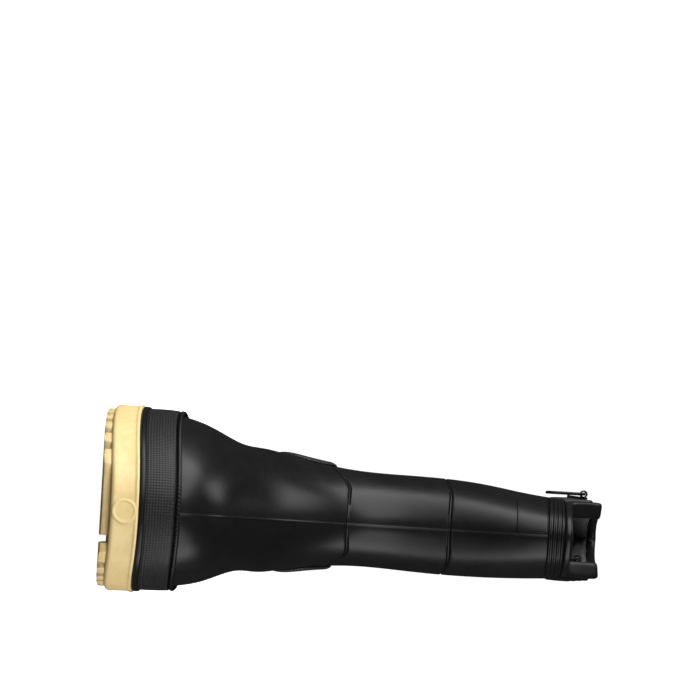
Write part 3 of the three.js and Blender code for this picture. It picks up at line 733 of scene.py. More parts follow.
@dataclass
class Sheet:
    """Node tree of one material."""

    name: str

    def __post_init__(self) -> None:
        """Makes the material and finds its shader."""
        self.material = bpy.data.materials.new(self.name)
        self.material.use_nodes = True
        self.tree = self.material.node_tree
        self.shader = self.tree.nodes["Principled BSDF"]

    def node(self, kind: str, settings: dict[str, Any], inputs: dict[str, Any]) -> bpy.types.Node:
        """Adds a node.

        Args:
            kind: the node's type.
            settings: its properties.
            inputs: a value or a Term for each input, named or numbered.

        Returns:
            The new node.
        """
        made = self.tree.nodes.new(kind)
        for key, value in settings.items():
            setattr(made, key, value)
        for key, value in inputs.items():
            target = made.inputs[int(key) if key.isdigit() else key]
            if isinstance(value, Term):
                self.tree.links.new(value.socket, target)
            else:
                target.default_value = value
        return made

    def out(
        self, kind: str, settings: dict[str, Any], inputs: dict[str, Any], name: str | int = 0
    ) -> Term:
        """Adds a node and gives one of its outputs as a Term."""
        return Term(self, self.node(kind, settings, inputs).outputs[name])

    def place(self, name: str = "Object") -> Term:
        """Texture coordinates: Object in metres, or UV in millimetres."""
        return self.out("ShaderNodeTexCoord", {}, {}, name)

    def parts(self, vector: Term) -> tuple[Term, Term, Term]:
        """The three coordinates of a vector."""
        split = self.node("ShaderNodeSeparateXYZ", {}, {"0": vector})
        return tuple(Term(self, output) for output in split.outputs)

    def noise(
        self,
        vector: Term,
        scale: float,
        detail: float = 3,
        roughness: float = 0.5,
        stretch: tuple[float, float, float] = (1, 1, 1),
    ) -> Term:
        """Fractal noise from about 0 to 1.

        Args:
            vector: coordinates to read.
            scale: features per unit of the coordinates.
            detail: how many finer layers.
            roughness: strength of each finer layer.
            stretch: factors on the three coordinates.

        Returns:
            The noise.
        """
        moved = self.out("ShaderNodeMapping", {}, {"Vector": vector, "Scale": stretch})
        values = {"Vector": moved, "Scale": scale, "Detail": detail, "Roughness": roughness}
        return self.out("ShaderNodeTexNoise", {}, values)

    def cells(self, vector: Term, scale: float) -> Term:
        """Distance to the nearest of scattered points, in cells."""
        return self.out("ShaderNodeTexVoronoi", {}, {"Vector": vector, "Scale": scale})

    def blend(self, share: Term, low: "str | Term", high: str) -> Term:
        """Mixes two colours.

        Args:
            share: 0 for the low colour and 1 for the high one.
            low: code of a colour, or another colour.
            high: code of a colour.

        Returns:
            The mixed colour.
        """
        start = low if isinstance(low, Term) else linear(low)
        values = {MIX_SHARE: share, MIX_LOW: start, MIX_HIGH: linear(high)}
        return self.out("ShaderNodeMix", {"data_type": "RGBA"}, values, MIX_COLOUR)

    def bump(self, height: Term) -> Term:
        """Normal of a surface whose height is given in millimetres."""
        return self.out("ShaderNodeBump", {}, {"Height": height, "Distance": MM, "Strength": 1.0})

    def finish(self, values: dict[str, Any]) -> bpy.types.Material:
        """Connects the shader's inputs.

        Args:
            values: a number, colour or Term for each input's name.

        Returns:
            The material.
        """
        for key, value in values.items():
            if isinstance(value, Term):
                self.tree.links.new(value.socket, self.shader.inputs[key])
            else:
                self.shader.inputs[key].default_value = value
        return self.material


class Weave(Enum):
    """Moulded texture of a surface."""

    NONE = "none"
    KNURL = "knurl"


@dataclass(frozen=True)
class RubberFinish:
    """Vulcanised rubber with bloom, faint scuffs and a fine grain.

    Grain and texture heights are in millimetres. Scales are features per metre.
    """

    name: str
    low: str
    high: str
    roughness: float
    sheen_spread: float = 0.1
    grain: float = 0.012
    weave: Weave = Weave.NONE
    pitch: float = 1.5
    weave_height: float = 0.0
    dirt: str = ""
    specular: float = 0.5
    bloom_scale: float = 24
    patch_scale: float = 160
    grain_scale: float = 2600
    scuff_scale: float = 90
    patch_height: float = 0.05
    scuff_depth: float = 0.008

    def make(self) -> bpy.types.Material:
        """Builds the material.

        Returns:
            The material.
        """
        sheet = Sheet(self.name)
        place = sheet.place()
        bloom = sheet.noise(place, self.bloom_scale, 4, 0.55)
        patch = sheet.noise(place, self.patch_scale, 3, 0.5)
        fine = sheet.noise(place, self.grain_scale, 2, 0.6)
        scuff = sheet.noise(place, self.scuff_scale, 5, 0.65, (1, 1, 0.12)).rise(0.62, 0.72)
        height = (fine - 0.5) * self.grain + (patch - 0.5) * self.patch_height - scuff * self.scuff_depth
        share = (bloom * 0.6 + patch * 0.4).rise(0.3, 0.7)
        if self.weave is Weave.KNURL:
            height = height + self.knurl(sheet) * self.weave_height
        colour = sheet.blend(share, self.low, self.high)
        if self.dirt:
            colour = self.soiled(sheet, place, colour, patch)
        rough = self.roughness + (bloom - 0.5) * self.sheen_spread + (patch - 0.5) * 0.08 + scuff * 0.1
        values = {
            "Base Color": colour,
            "Roughness": rough,
            "Normal": sheet.bump(height),
            "Specular IOR Level": self.specular,
        }
        return sheet.finish(values)

    def knurl(self, sheet: Sheet) -> Term:
        """Crossed leaning ridges: the product of two sines of the surface's own coordinates.

        Args:
            sheet: the node tree.

        Returns:
            Height from 0 to 1.
        """
        u, v, _ = sheet.parts(sheet.place("UV"))
        half_turn = TAU / self.pitch / 2
        return (((u + v) * half_turn).sine() * ((u - v) * half_turn).sine()).rise(-0.5, 0.5)

    def soiled(self, sheet: Sheet, place: Term, colour: Term, patch: Term) -> Term:
        """Adds dirt that has settled low down and in patches.

        Args:
            sheet: the node tree.
            place: coordinates in metres.
            colour: colour of the rubber before the darkening.
            patch: noise that breaks the darkening up.

        Returns:
            The darkened colour.
        """
        _, _, z = sheet.parts(place)
        # darker colour mixed over the lowest 20 mm of the piece, in patches
        share = (1 - z.rise(0.001, 0.02)) * 0.45 * patch.rise(0.35, 0.7)
        return sheet.blend(share, colour, self.dirt)


@dataclass(frozen=True)
class ClothFinish:
    """Felt, knit or pressed fibre."""

    name: str
    low: str
    high: str
    fibre: float
    height: float
    knit_pitch: float = 0.0

    def make(self) -> bpy.types.Material:
        """Builds the material from crossed, stretched noise, with rows of stitches where a pitch is given.

        Returns:
            The material.
        """
        sheet = Sheet(self.name)
        place = sheet.place()
        across = sheet.noise(place, self.fibre, 4, 0.7, (1, 0.15, 0.15))
        along = sheet.noise(place, self.fibre, 4, 0.7, (0.15, 1, 0.3))
        fuzz = across.math("MAXIMUM", along)
        height = fuzz * self.height
        if self.knit_pitch:
            u, v, _ = sheet.parts(sheet.place("UV"))
            turn = TAU / self.knit_pitch
            stitch = (u * turn).sine().size() + (v * turn + (u * turn).sine() * 1.4).sine() * 0.5
            height = height + stitch * self.height
            fuzz = fuzz * 0.5 + stitch * 0.35
        values = {
            "Base Color": sheet.blend(fuzz.rise(0.3, 0.8), self.low, self.high),
            "Roughness": 0.82 + fuzz * 0.15,
            "Normal": sheet.bump(height),
            "Sheen Weight": 0.35,
        }
        return sheet.finish(values)


@dataclass(frozen=True)
class SteelFinish:
    """Cold-rolled steel with brushing along the boot."""

    name: str
    low: str = "8d9196"
    high: str = "b9bcbf"

    def make(self) -> bpy.types.Material:
        """Builds the material.

        Returns:
            The material.
        """
        sheet = Sheet(self.name)
        place = sheet.place()
        brushed = sheet.noise(place, 2400, 3, 0.6, (1, 0.02, 1))
        stain = sheet.noise(place, 60, 4, 0.6)
        values = {
            "Base Color": sheet.blend(stain.rise(0.35, 0.7), self.low, self.high),
            "Metallic": 1.0,
            "Roughness": 0.28 + brushed * 0.16 + stain * 0.1,
            "Normal": sheet.bump(brushed * 0.01),
        }
        return sheet.finish(values)


@dataclass(frozen=True)
class FoamFinish:
    """Closed-cell sponge rubber."""

    name: str
    low: str = "2c2b28"
    high: str = "45433d"

    def make(self) -> bpy.types.Material:
        """Builds the material from small round cells.

        Returns:
            The material.
        """
        sheet = Sheet(self.name)
        place = sheet.place()
        pore = sheet.cells(place, 700)
        tone = sheet.noise(place, 120, 3, 0.5)
        values = {
            "Base Color": sheet.blend((pore * 0.7 + tone * 0.5).rise(0.2, 0.9), self.low, self.high),
            "Roughness": 0.78 + pore * 0.15,
            "Normal": sheet.bump(pore * 0.2),
        }
        return sheet.finish(values)


def make_finishes() -> dict[Slot, bpy.types.Material]:
    """Builds one material for each slot of the record.

    Returns:
        The materials by slot.
    """
    finishes = {
        # the cream rubber turns towards a darker tone low down on the sole
        Slot.CREAM: RubberFinish("cream_rubber", "d9bd7e", "e8cf95", 0.5, 0.08, 0.02, dirt="8d7a55"),
        Slot.BLACK: RubberFinish("black_rubber", "101011", "151516", 0.34, 0.09, 0.010, specular=0.2),
        Slot.TEXTURED: RubberFinish(
            "textured_rubber", "141415", "1b1b1c", 0.42, 0.08, 0.012, Weave.KNURL, 1.9, 0.3, specular=0.3
        ),
        Slot.STRAP: RubberFinish("strap_rubber", "121213", "181819", 0.42, 0.1, 0.015, specular=0.3),
        Slot.SPONGE: FoamFinish("sponge_rubber"),
        Slot.STEEL: SteelFinish("steel"),
        Slot.BOARD: ClothFinish("fibre_board", "6d5234", "927049", 900, 0.12),
        Slot.FELT: ClothFinish("felt", "8b7c5a", "b3a47d", 1100, 0.3),
        Slot.LINING: ClothFinish("lining_cloth", "202120", "3a3b39", 1500, 0.2, 1.3),
    }
    return {slot: finish.make() for slot, finish in finishes.items()}


# ----------------------------------------------------------------------------------------------------
# Sole unit


@dataclass
class SoleUnit:
    """Cream outsole with its tread and raised mark, and the black welt above it."""

    shop: Workshop
    stations: int = 260
    wall: float = 9
    web: float = 6
    lug_width: float = 10
    lug_pitch: float = 17
    lug_sweep: float = 12
    lug_inset: float = 3
    lug_sink: float = 0.6
    end_rise: float = 4
    bar_rows: int = 22
    first_lug_y: float = -147
    first_heel_lug_y: float = 86
    forefoot_lugs: int = 8
    heel_lugs: int = 5
    groove_x: float = 19.5
    groove_width: float = 5
    groove_end_y: float = -12
    mark_z: float = 24
    mark_depth: float = 1.2
    welt_inset: float = 0.6
    welt_inner_inset: float = 14

    def build(self) -> None:
        """Builds every piece of the sole unit."""
        self.outsole()
        self.tread()
        self.mark()
        self.welt()

    def outsole(self) -> None:
        """Wall and web: at each station from toe to heel a closed section across the sole.

        The profile goes up the inside of the wall, over its rounded top and down the outside, which has a lip
        along the top edge, to the underside.
        """
        angle = self.shop.form.toe_to_heel(self.stations, 4000)
        profile = (
            (-self.wall, 0, self.web),
            (-self.wall, 1, -1.2),
            (-self.wall + 1, 1, -0.2),
            (-1.4, 1, 0),
            (-0.2, 1, -0.1),
            (0.35, 1, -0.6),
            (0.4, 1, -1.4),
            (0.3, 1, -2.1),
            (-0.25, 1, -2.6),
            (-0.35, 1, -3.4),
            (-0.45, 0.75, 0),
            (-0.45, 0.5, 0),
            (-0.3, 0.25, 0),
            (-0.1, 0, 3),
            (-0.2, 0, 1.8),
            (-1.2, 0, 0.5),
            (-3, 0, 0),
        )
        section = self.shop.form.sole_sections(angle, profile, 12)
        faces = grid_faces(*section.shape[:2], False, True)
        weld(self.shop.piece("outsole_body", section, faces, Slot.CREAM, ("outsole",)))

    def half_widths(self, y: Array) -> tuple[Array, Array]:
        """Edges of the tread.

        Args:
            y: places along the boot.

        Returns:
            X of the outer edge and X of the inner edge.
        """
        form = self.shop.form
        angle = np.linspace(0, math.pi, 721)
        edges = []
        for side in (1, -1):
            edge = form.sole_edge(side * angle, np.full_like(angle, -self.lug_inset))
            edges.append(np.interp(y, edge[:, 1], edge[:, 0]))
        return edges[0], edges[1]

    def tread(self) -> None:
        """Swept bars of tread with rounded edges, cut by the sole's outline and the lengthwise groove."""
        bars = [(self.first_lug_y + i * self.lug_pitch, self.lug_sweep) for i in range(self.forefoot_lugs)]
        heel = range(self.heel_lugs)
        bars += [(self.first_heel_lug_y + i * self.lug_pitch, -self.lug_sweep) for i in heel]
        points, faces, count = [], [], 0
        for y, sweep in bars:
            spans = ((-1, 1),)
            if y < self.groove_end_y:
                half_groove = self.groove_width / 2
                spans = ((-1, self.groove_x - half_groove), (self.groove_x + half_groove, 1))
            for low, high in spans:
                bar = self.bar(y, sweep, low, high)
                rows, columns = bar.shape[:2]
                points.append(bar.reshape(-1, 3))
                faces.append(grid_faces(rows, columns, False, True) + count)
                caps = np.arange(columns)
                for row, flip in ((0, 1), (rows - 1, -1)):
                    ring = row * columns + caps
                    half = columns // 2
                    near, far = ring[: half - 1], ring[1:half]
                    quads = np.stack([near, far, ring[::-1][1:half], ring[::-1][: half - 1]], axis=1)
                    faces.append(quads[:, ::-flip] + count)
                count += rows * columns
        self.shop.piece(
            "outsole_tread", np.concatenate(points), np.concatenate(faces), Slot.CREAM, ("outsole",)
        )

    def bar(self, y: float, sweep: float, low: float, high: float) -> Array:
        """Grid of points of one bar: rows go across the boot, columns round the section.

        Args:
            y: middle of the bar at the moulding plane.
            sweep: how far back the bar lies at its ends.
            low: X where it starts, or -1 for the outer edge.
            high: X where it ends, or 1 for the inner edge.

        Returns:
            Grid of points.
        """
        form = self.shop.form
        w = self.lug_width / 2
        side = np.array([(w, 1), (w, 0.5), (w, 0.22), (w - 0.25, 0.08), (w - 0.8, 0), (w / 2, 0), (0, 0)])
        section = np.concatenate([side, side[::-1] * (-1, 1), [(-w / 2, 1), (w / 2, 1)]])
        rounding = np.array([0.9, 0.97, 0.995])
        near_end = np.array([0, 0.004, 0.012])
        share = np.concatenate([near_end, np.linspace(0.03, 0.97, self.bar_rows), [0.988, 0.996, 1]])
        shrink = np.concatenate([rounding, np.ones(self.bar_rows), rounding[::-1]])
        v = y + section[None, :, 0] * shrink[:, None]
        x = np.zeros_like(v)
        for _ in range(SWEEP_STEPS):
            here = v + sweep * np.abs(x) / (form.outer_half_width + self.lug_width)
            outer, inner = self.half_widths(here)
            start = outer if low == -1 else np.full_like(here, low)
            end = inner if high == 1 else np.full_like(here, high)
            x = start + (end - start) * share[:, None]
        here = v + sweep * np.abs(x) / (form.outer_half_width + self.lug_width)
        floor = form.spring(here)
        root = form.sole_bottom(here) + self.lug_sink
        floor = floor + (1 - shrink[:, None]) * self.end_rise * (1 - section[None, :, 1])
        return np.stack([x, here, mix(floor, root, section[None, :, 1])], axis=-1)

    def mark(self) -> None:
        """Plain raised ring with a sunk disc on the toe, laid on the curve of the wall."""
        form = self.shop.form
        radius = np.array([0, 1.5, 3, 4.6, 5.6, 6.2, 6.7, 7.2, 7.7, 8.1, 8.4, 8.5, 8.5])
        height = np.array([0.35] * 5 + [0.4, 0.7, 0.8, 0.8, 0.7, 0.4, 0.1, -self.mark_depth])
        turn = np.linspace(0, TAU, 73)[:-1]
        x = radius[:, None] * np.cos(turn)[None, :]
        z = self.mark_z + radius[:, None] * np.sin(turn)[None, :]
        angles = np.linspace(-0.5, 0.5, 801)
        edge = form.sole_edge(angles, np.zeros_like(angles))
        order = np.argsort(edge[:, 0])
        y = np.interp(x, edge[order, 0], edge[order, 1]) - height[:, None]
        front = np.stack([x, y, z], axis=-1)
        centre = np.array([[0, -form.half_length + self.mark_depth, self.mark_z]])
        rows, columns = x.shape
        points = np.concatenate([front.reshape(-1, 3), centre])
        faces = grid_faces(rows, columns, False, True)
        last = (rows - 1) * columns + np.arange(columns)
        tip = np.full(columns, rows * columns)
        cap = np.stack([last, np.roll(last, -1), tip, tip], axis=1)
        weld(self.shop.piece("sole_mark", points, np.concatenate([faces, cap]), Slot.CREAM, ("outsole",)))

    def welt(self) -> None:
        """Flange between outsole and upper: a ring with a rounded edge and a flat top."""
        form = self.shop.form
        angle, _ = form.even_angles(0.0, 900)
        profile = (
            (-self.welt_inner_inset, 0),
            (-self.welt_inset - 0.7, 0),
            (-self.welt_inset - 0.15, 0.25),
            (-self.welt_inset, 0.9),
            (-self.welt_inset, 2.9),
            (-self.welt_inset - 0.2, 3.6),
            (-self.welt_inset - 0.8, 3.95),
            (-3, 4),
            (-5, 4),
            (-self.welt_inner_inset, 4),
        )
        rows = []
        for grow, lift in profile:
            edge = form.sole_edge(angle, np.full_like(angle, grow))
            rows.append(np.stack([edge[:, 0], edge[:, 1], form.sole_top(edge[:, 1]) + GAP + lift], axis=-1))
        points = np.stack(rows)
        faces = grid_faces(*points.shape[:2], True, True)
        self.shop.piece("welt_flange", points, faces, Slot.BLACK, ("welt",))


def weld(made: bpy.types.Object) -> None:
    """Joins points that lie on one another, so that shading runs across them.

    Args:
        made: object whose mesh is changed.
    """
    work = bmesh.new()
    work.from_mesh(made.data)
    bmesh.ops.remove_doubles(work, verts=work.verts, dist=0.01 * MM)
    work.to_mesh(made.data)
    work.free()


# ----------------------------------------------------------------------------------------------------
# Upper


@dataclass
class Upper:
    """Rubber plies of the foot and the leg, with the bands laid on them."""

    shop: Workshop
    wall: float = 3
    around: int = 420
    seam_width: float = 0.7
    seam_height: float = 0.35
    end_climb: tuple[float, ...] = (0.02, 0.12, 0.4, 0.8, 1.4)
    end_drop: tuple[float, ...] = (-1.0, -0.55, -0.22, -0.05, 0)
    knurl_out: float = 3.2
    rope_out: float = 2.0
    rope_radius: float = 1.62
    rope_ripple: float = 0.16
    rope_twist: float = 2.6
    rope_sides: int = 14
    collar_out: float = 1.15
    rib_height: float = 0.85
    lining_outside: float = -8.8
    lining_inside: float = -9.9

    def __post_init__(self) -> None:
        """Places the columns that every ply shares."""
        self.angle, self.distance = self.columns()

    def build(self) -> None:
        """Builds every piece of the upper."""
        form = self.shop.form
        ankle = form.seam(form.ankle_seam_at, self.angle)
        shin = form.seam(form.shin_seam_at, self.angle)
        low = np.zeros_like(self.angle)
        high = np.full_like(self.angle, form.bead_start)
        self.ply("vamp", low, ankle, 110, ("vamp_shell",))
        self.ply("lower_leg", ankle, shin, 60, ("lower_leg_shell",))
        self.ply("upper_leg", shin, high, 70, ("upper_leg_shell",))
        self.rand()
        self.rope()
        self.collar()
        self.rim()
        self.patch()
        for side in Side:
            self.ankle_guard(side)
        self.lining()

    def columns(self) -> tuple[Array, Array]:
        """Places the columns closer together beside the moulded seams at toe and heel.

        Returns:
            The angles, and the distance of each from the toe.
        """
        form = self.shop.form
        _, distance = form.even_angles(0.3, self.around)
        total = distance.max() * 2
        dense, _ = form.even_angles(0.3, DENSE_TURN)
        travel = np.arange(DENSE_TURN) * total / DENSE_TURN
        beside = np.array([0.25, 0.5, 0.8, 1.2, 1.8, 2.6])
        extra = np.concatenate([-beside[::-1], beside])
        heel = travel[np.argmin(np.abs(dense - math.pi))]
        near = np.concatenate([extra % total, heel + extra, [0, heel]])
        regular = np.arange(self.around) * total / self.around
        away = np.abs(regular[:, None] - np.concatenate([near, [total]])[None, :]).min(axis=1) > 0.4
        travel_all = np.sort(np.concatenate([regular[away], near]))
        angles = np.interp(travel_all, np.append(travel, total), np.append(dense, TAU))
        return angles, np.minimum(travel_all, total - travel_all)

    def relief(self, t: Array, angle: Array) -> Array:
        """Moulded relief of the outer face: slow waves and the parting seam in front and behind.

        Args:
            t: places up the loft.
            angle: turns round the boot.

        Returns:
            Array of heights, in millimetres.
        """
        form = self.shop.form
        x = form.point(t, angle)[..., 0]
        seam = self.seam_height * np.exp(-((x / self.seam_width) ** 2) * 2)
        return waves(t, angle, 0.22, 1) + seam

    def ply(self, name: str, low: Array, high: Array, rows: int, stands_for: tuple[str, ...]) -> None:
        """One rubber ply with rounded ends, between two seams.

        Args:
            name: the piece's name.
            low: place of the lower seam at each column.
            high: place of the upper seam at each column.
            rows: rows between the rounded ends.
            stands_for: CAD nodes that it replaces.
        """
        share = np.linspace(0, 1, rows)
        top_ends, top_drop = np.array(self.end_climb), np.array(self.end_drop)
        ends, drop = (top_ends - top_ends[0], top_drop * 0) if name == "vamp" else (top_ends, top_drop)
        middle = share[1:-1]
        t = np.concatenate([
            np.broadcast_to(low, (len(ends), len(low))),
            mix(low[None, :], high[None, :], middle[:, None]),
            np.broadcast_to(high, (len(ends), len(high))),
        ])
        climb = np.concatenate([ends, np.zeros(len(middle)), -top_ends[::-1]])[:, None] * np.ones_like(t)
        edge = np.concatenate([drop, np.zeros(len(middle)), top_drop[::-1]])[:, None]
        offset = edge + self.relief(t, self.angle[None, :])
        inner_rows = np.linspace(len(t) - 1, 0, 14).astype(int)
        whole_t = np.concatenate([t, t[inner_rows]])
        whole_climb = np.concatenate([climb, climb[inner_rows]])
        whole_offset = np.concatenate([offset, np.full((len(inner_rows), t.shape[1]), -self.wall)])
        self.shop.ring(
            name, whole_t, self.angle, whole_offset, whole_climb, Slot.BLACK, stands_for, self.distance
        )

    def rand(self) -> None:
        """Knurled band round the foot above the welt."""
        form = self.shop.form
        angle, distance = form.even_angles(0.05, 1000)
        rows = 24
        level = np.concatenate([np.linspace(0, 1, rows), [1, 1, 0]])
        rise = np.zeros(rows + 3)
        rise[rows - 1 : rows + 2] = (-0.15, -0.1, -0.15)
        out = np.full(rows + 3, self.knurl_out)
        out[0] = self.knurl_out - 0.2
        out[rows - 1 :] = (self.knurl_out - 0.8, 1.5, GAP, GAP)
        parts = (form.rand_top * level, rise, out)
        t, climb, offset = (part[:, None] * np.ones_like(angle) for part in parts)
        self.shop.ring("rand_band", t, angle, offset, climb, Slot.TEXTURED, ("rand",), distance)

    def rope(self) -> None:
        """Twisted bead: a round section whose radius ripples along a helix."""
        form = self.shop.form
        angle, distance = form.even_angles(form.rand_top, 1700)
        turn = np.arange(self.rope_sides) * TAU / self.rope_sides
        ripple = np.sin(2 * turn[:, None] + distance[None, :] * TAU / self.rope_twist)
        radius = self.rope_radius + self.rope_ripple * ripple
        offset = self.rope_out + radius * np.cos(turn)[:, None]
        climb = self.rope_out + radius * np.sin(turn)[:, None]
        t = np.full_like(offset, form.rand_top)
        self.shop.ring("rope", t, angle, offset, climb, Slot.BLACK, ("rope_bead",), distance)

    def collar(self) -> None:
        """Band under the rim with four narrow ribs."""
        form = self.shop.form
        share = np.linspace(0, 1, 66)[:, None]
        ribs = np.clip(1.3 * np.sin(share * math.pi * 4) ** 2 - 0.2, 0, 1)
        ends = smooth_step(0, 0.04, share) * smooth_step(0, 0.04, 1 - share)
        t = mix(form.collar_start, form.bead_start, share) * np.ones_like(self.angle)
        edge = GAP + 0.4
        offset = (edge + (self.collar_out - 0.4 + self.rib_height * ribs) * ends) * np.ones_like(self.angle)
        climb = mix(GAP, -GAP, share) * np.ones_like(self.angle)
        t = np.concatenate([t, t[-1:], t[:1]])
        climb = np.concatenate([climb, climb[-1:], climb[:1]])
        offset = np.concatenate([offset, np.full((2, len(self.angle)), GAP)])
        self.shop.ring(
            "collar_ribs", t, self.angle, offset, climb, Slot.BLACK, ("collar_band",), self.distance
        )

    def rim(self) -> None:
        """Rounded bead that closes the plies at the top."""
        form = self.shop.form
        angle = self.angle
        section = (
            (0, 0.7), (0.06, 1.0), (0.3, 1.15), (0.6, 1.1), (0.8, 0.8), (0.93, 0.1), (0.99, -1.2),
            (1, -2.8), (1, -5), (1, -7.4), (0.98, -8.9), (0.9, -10.2), (0.75, -10.8), (0.5, -10.9),
            (0.2, -10.9), (0, -10.6),
        )
        share = np.array([s for s, _ in section])[:, None]
        bottom = form.bead_start
        t = mix(bottom, 1, share) * np.ones_like(angle)
        climb = (1 - share) * GAP * np.ones_like(angle)
        offset = np.array([o for _, o in section])[:, None] * np.ones_like(angle)
        self.shop.ring("rim_roll", t, angle, offset, climb, Slot.BLACK, ("rim_bead",), self.distance)

    def patch(self) -> None:
        """Blank raised panel on the outer side of the front seam, with rounded corners and edges."""
        form = self.shop.form
        low, high = form.corners("front_patch")
        grid = np.stack(np.meshgrid(rounded_steps(45), rounded_steps(40), indexing="ij"), axis=-1)
        x = mix(low[0], high[0], (grid[..., 0] + 1) / 2)
        z = mix(low[2], high[2], (grid[..., 1] + 1) / 2)
        t, angle = form.locate((0.88, 0.35), np.stack([x, z], axis=-1), (0, 2))
        half_u, half_v = (high[0] - low[0]) / 2, (high[2] - low[2]) / 2
        edge = edge_height(grid, half_u, half_v, 0.7)
        border = 1.6
        frame_line = edge_height(grid, half_u - border, half_v - border, 0.5)
        top = form.surface(t, angle, GAP + 0.1 + 0.75 * edge - 0.25 * frame_line)
        bottom = form.surface(t, angle, np.full_like(t, GAP))
        self.shop.pad("patch", top, bottom, Slot.BLACK, ("front_patch",))

    def ankle_guard(self, side: Side) -> None:
        """Oval pad over the ankle bone, knurled and rounded at its edge.

        Args:
            side: side of the foot.
        """
        form = self.shop.form
        node = f"ankle_guard_{side.name.lower()}"
        low, high = form.corners(node)
        radius = 1 - (1 - np.linspace(0, 1, 40)) ** 1.6
        turn = np.linspace(0, TAU, 121)[:-1]
        y = (low[1] + high[1]) / 2 + (high[1] - low[1]) / 2 * radius[:, None] * np.cos(turn)
        z = (low[2] + high[2]) / 2 + (high[2] - low[2]) / 2 * radius[:, None] * np.sin(turn)
        start = (0.5, math.pi / 2 if side is Side.OUTER else -math.pi / 2)
        t, angle = form.locate(start, np.stack([y, z], axis=-1), (1, 2))
        fall = np.sqrt(np.clip(1 - radius**2, 0, 1))[:, None]
        swell = 0.15 + 2.1 * np.clip(fall * 2.2, 0, 1) * np.ones_like(t)
        top = form.surface(t, angle, GAP + swell)
        bottom = form.surface(t, angle, np.full_like(t, GAP))
        rows, columns = t.shape
        points = np.concatenate([top.reshape(-1, 3), bottom.reshape(-1, 3)])
        upper = grid_faces(rows, columns, False, True)
        last = (rows - 1) * columns + np.arange(columns)
        count = rows * columns
        wall = np.stack([last, np.roll(last, -1), np.roll(last, -1) + count, last + count], axis=1)
        faces = np.concatenate([upper, upper[:, ::-1] + count, wall])
        face = np.stack([y, z], axis=-1).reshape(-1, 2)
        uv = np.concatenate([face, face])
        name = f"ankle_pad_{side.name.lower()}"
        weld(self.shop.piece(name, points, faces, Slot.TEXTURED, (node,), uv=uv))

    def lining(self) -> None:
        """Knitted lining: a thin ring on the inner side of the felt."""
        form = self.shop.form
        share = np.linspace(0, 1, 90)[:, None]
        t = form.bead_start * share * np.ones_like(self.angle)
        offset = self.lining_inside + waves(t, self.angle, 0.12, 3)
        climb = np.zeros_like(t)
        climb[-1] = -GAP
        outside = np.linspace(len(t) - 1, 0, 30).astype(int)
        t = np.concatenate([t, t[outside]])
        climb = np.concatenate([climb, climb[outside]])
        offset = np.concatenate([offset, np.full((len(outside), t.shape[1]), self.lining_outside)])
        self.shop.ring(
            "lining", t, self.angle, offset, climb, Slot.LINING, ("fabric_lining",), self.distance
        )


def rounded_steps(count: int) -> Array:
    """Places from -1 to 1 that lie closer together at the ends: half a line and half a sine."""
    base = np.linspace(-1, 1, count)
    return np.sin(base * math.pi / 2) * 0.5 + base * 0.5


def edge_height(grid: Array, half_u: float, half_v: float, radius: float) -> Array:
    """Height from 0 at the border to 1 at a radius inside it, in the form of a quarter round.

    Args:
        grid: pairs of places from -1 to 1.
        half_u: half size along the first, in millimetres.
        half_v: half size along the second, in millimetres.
        radius: width of the rounding, in millimetres.

    Returns:
        Array of heights.
    """
    inside = np.minimum((1 - np.abs(grid[..., 0])) * half_u, (1 - np.abs(grid[..., 1])) * half_v)
    share = np.clip(inside / radius, 0, 1)
    return np.sqrt(1 - (1 - share) ** 2)


# ----------------------------------------------------------------------------------------------------
# Pull loops


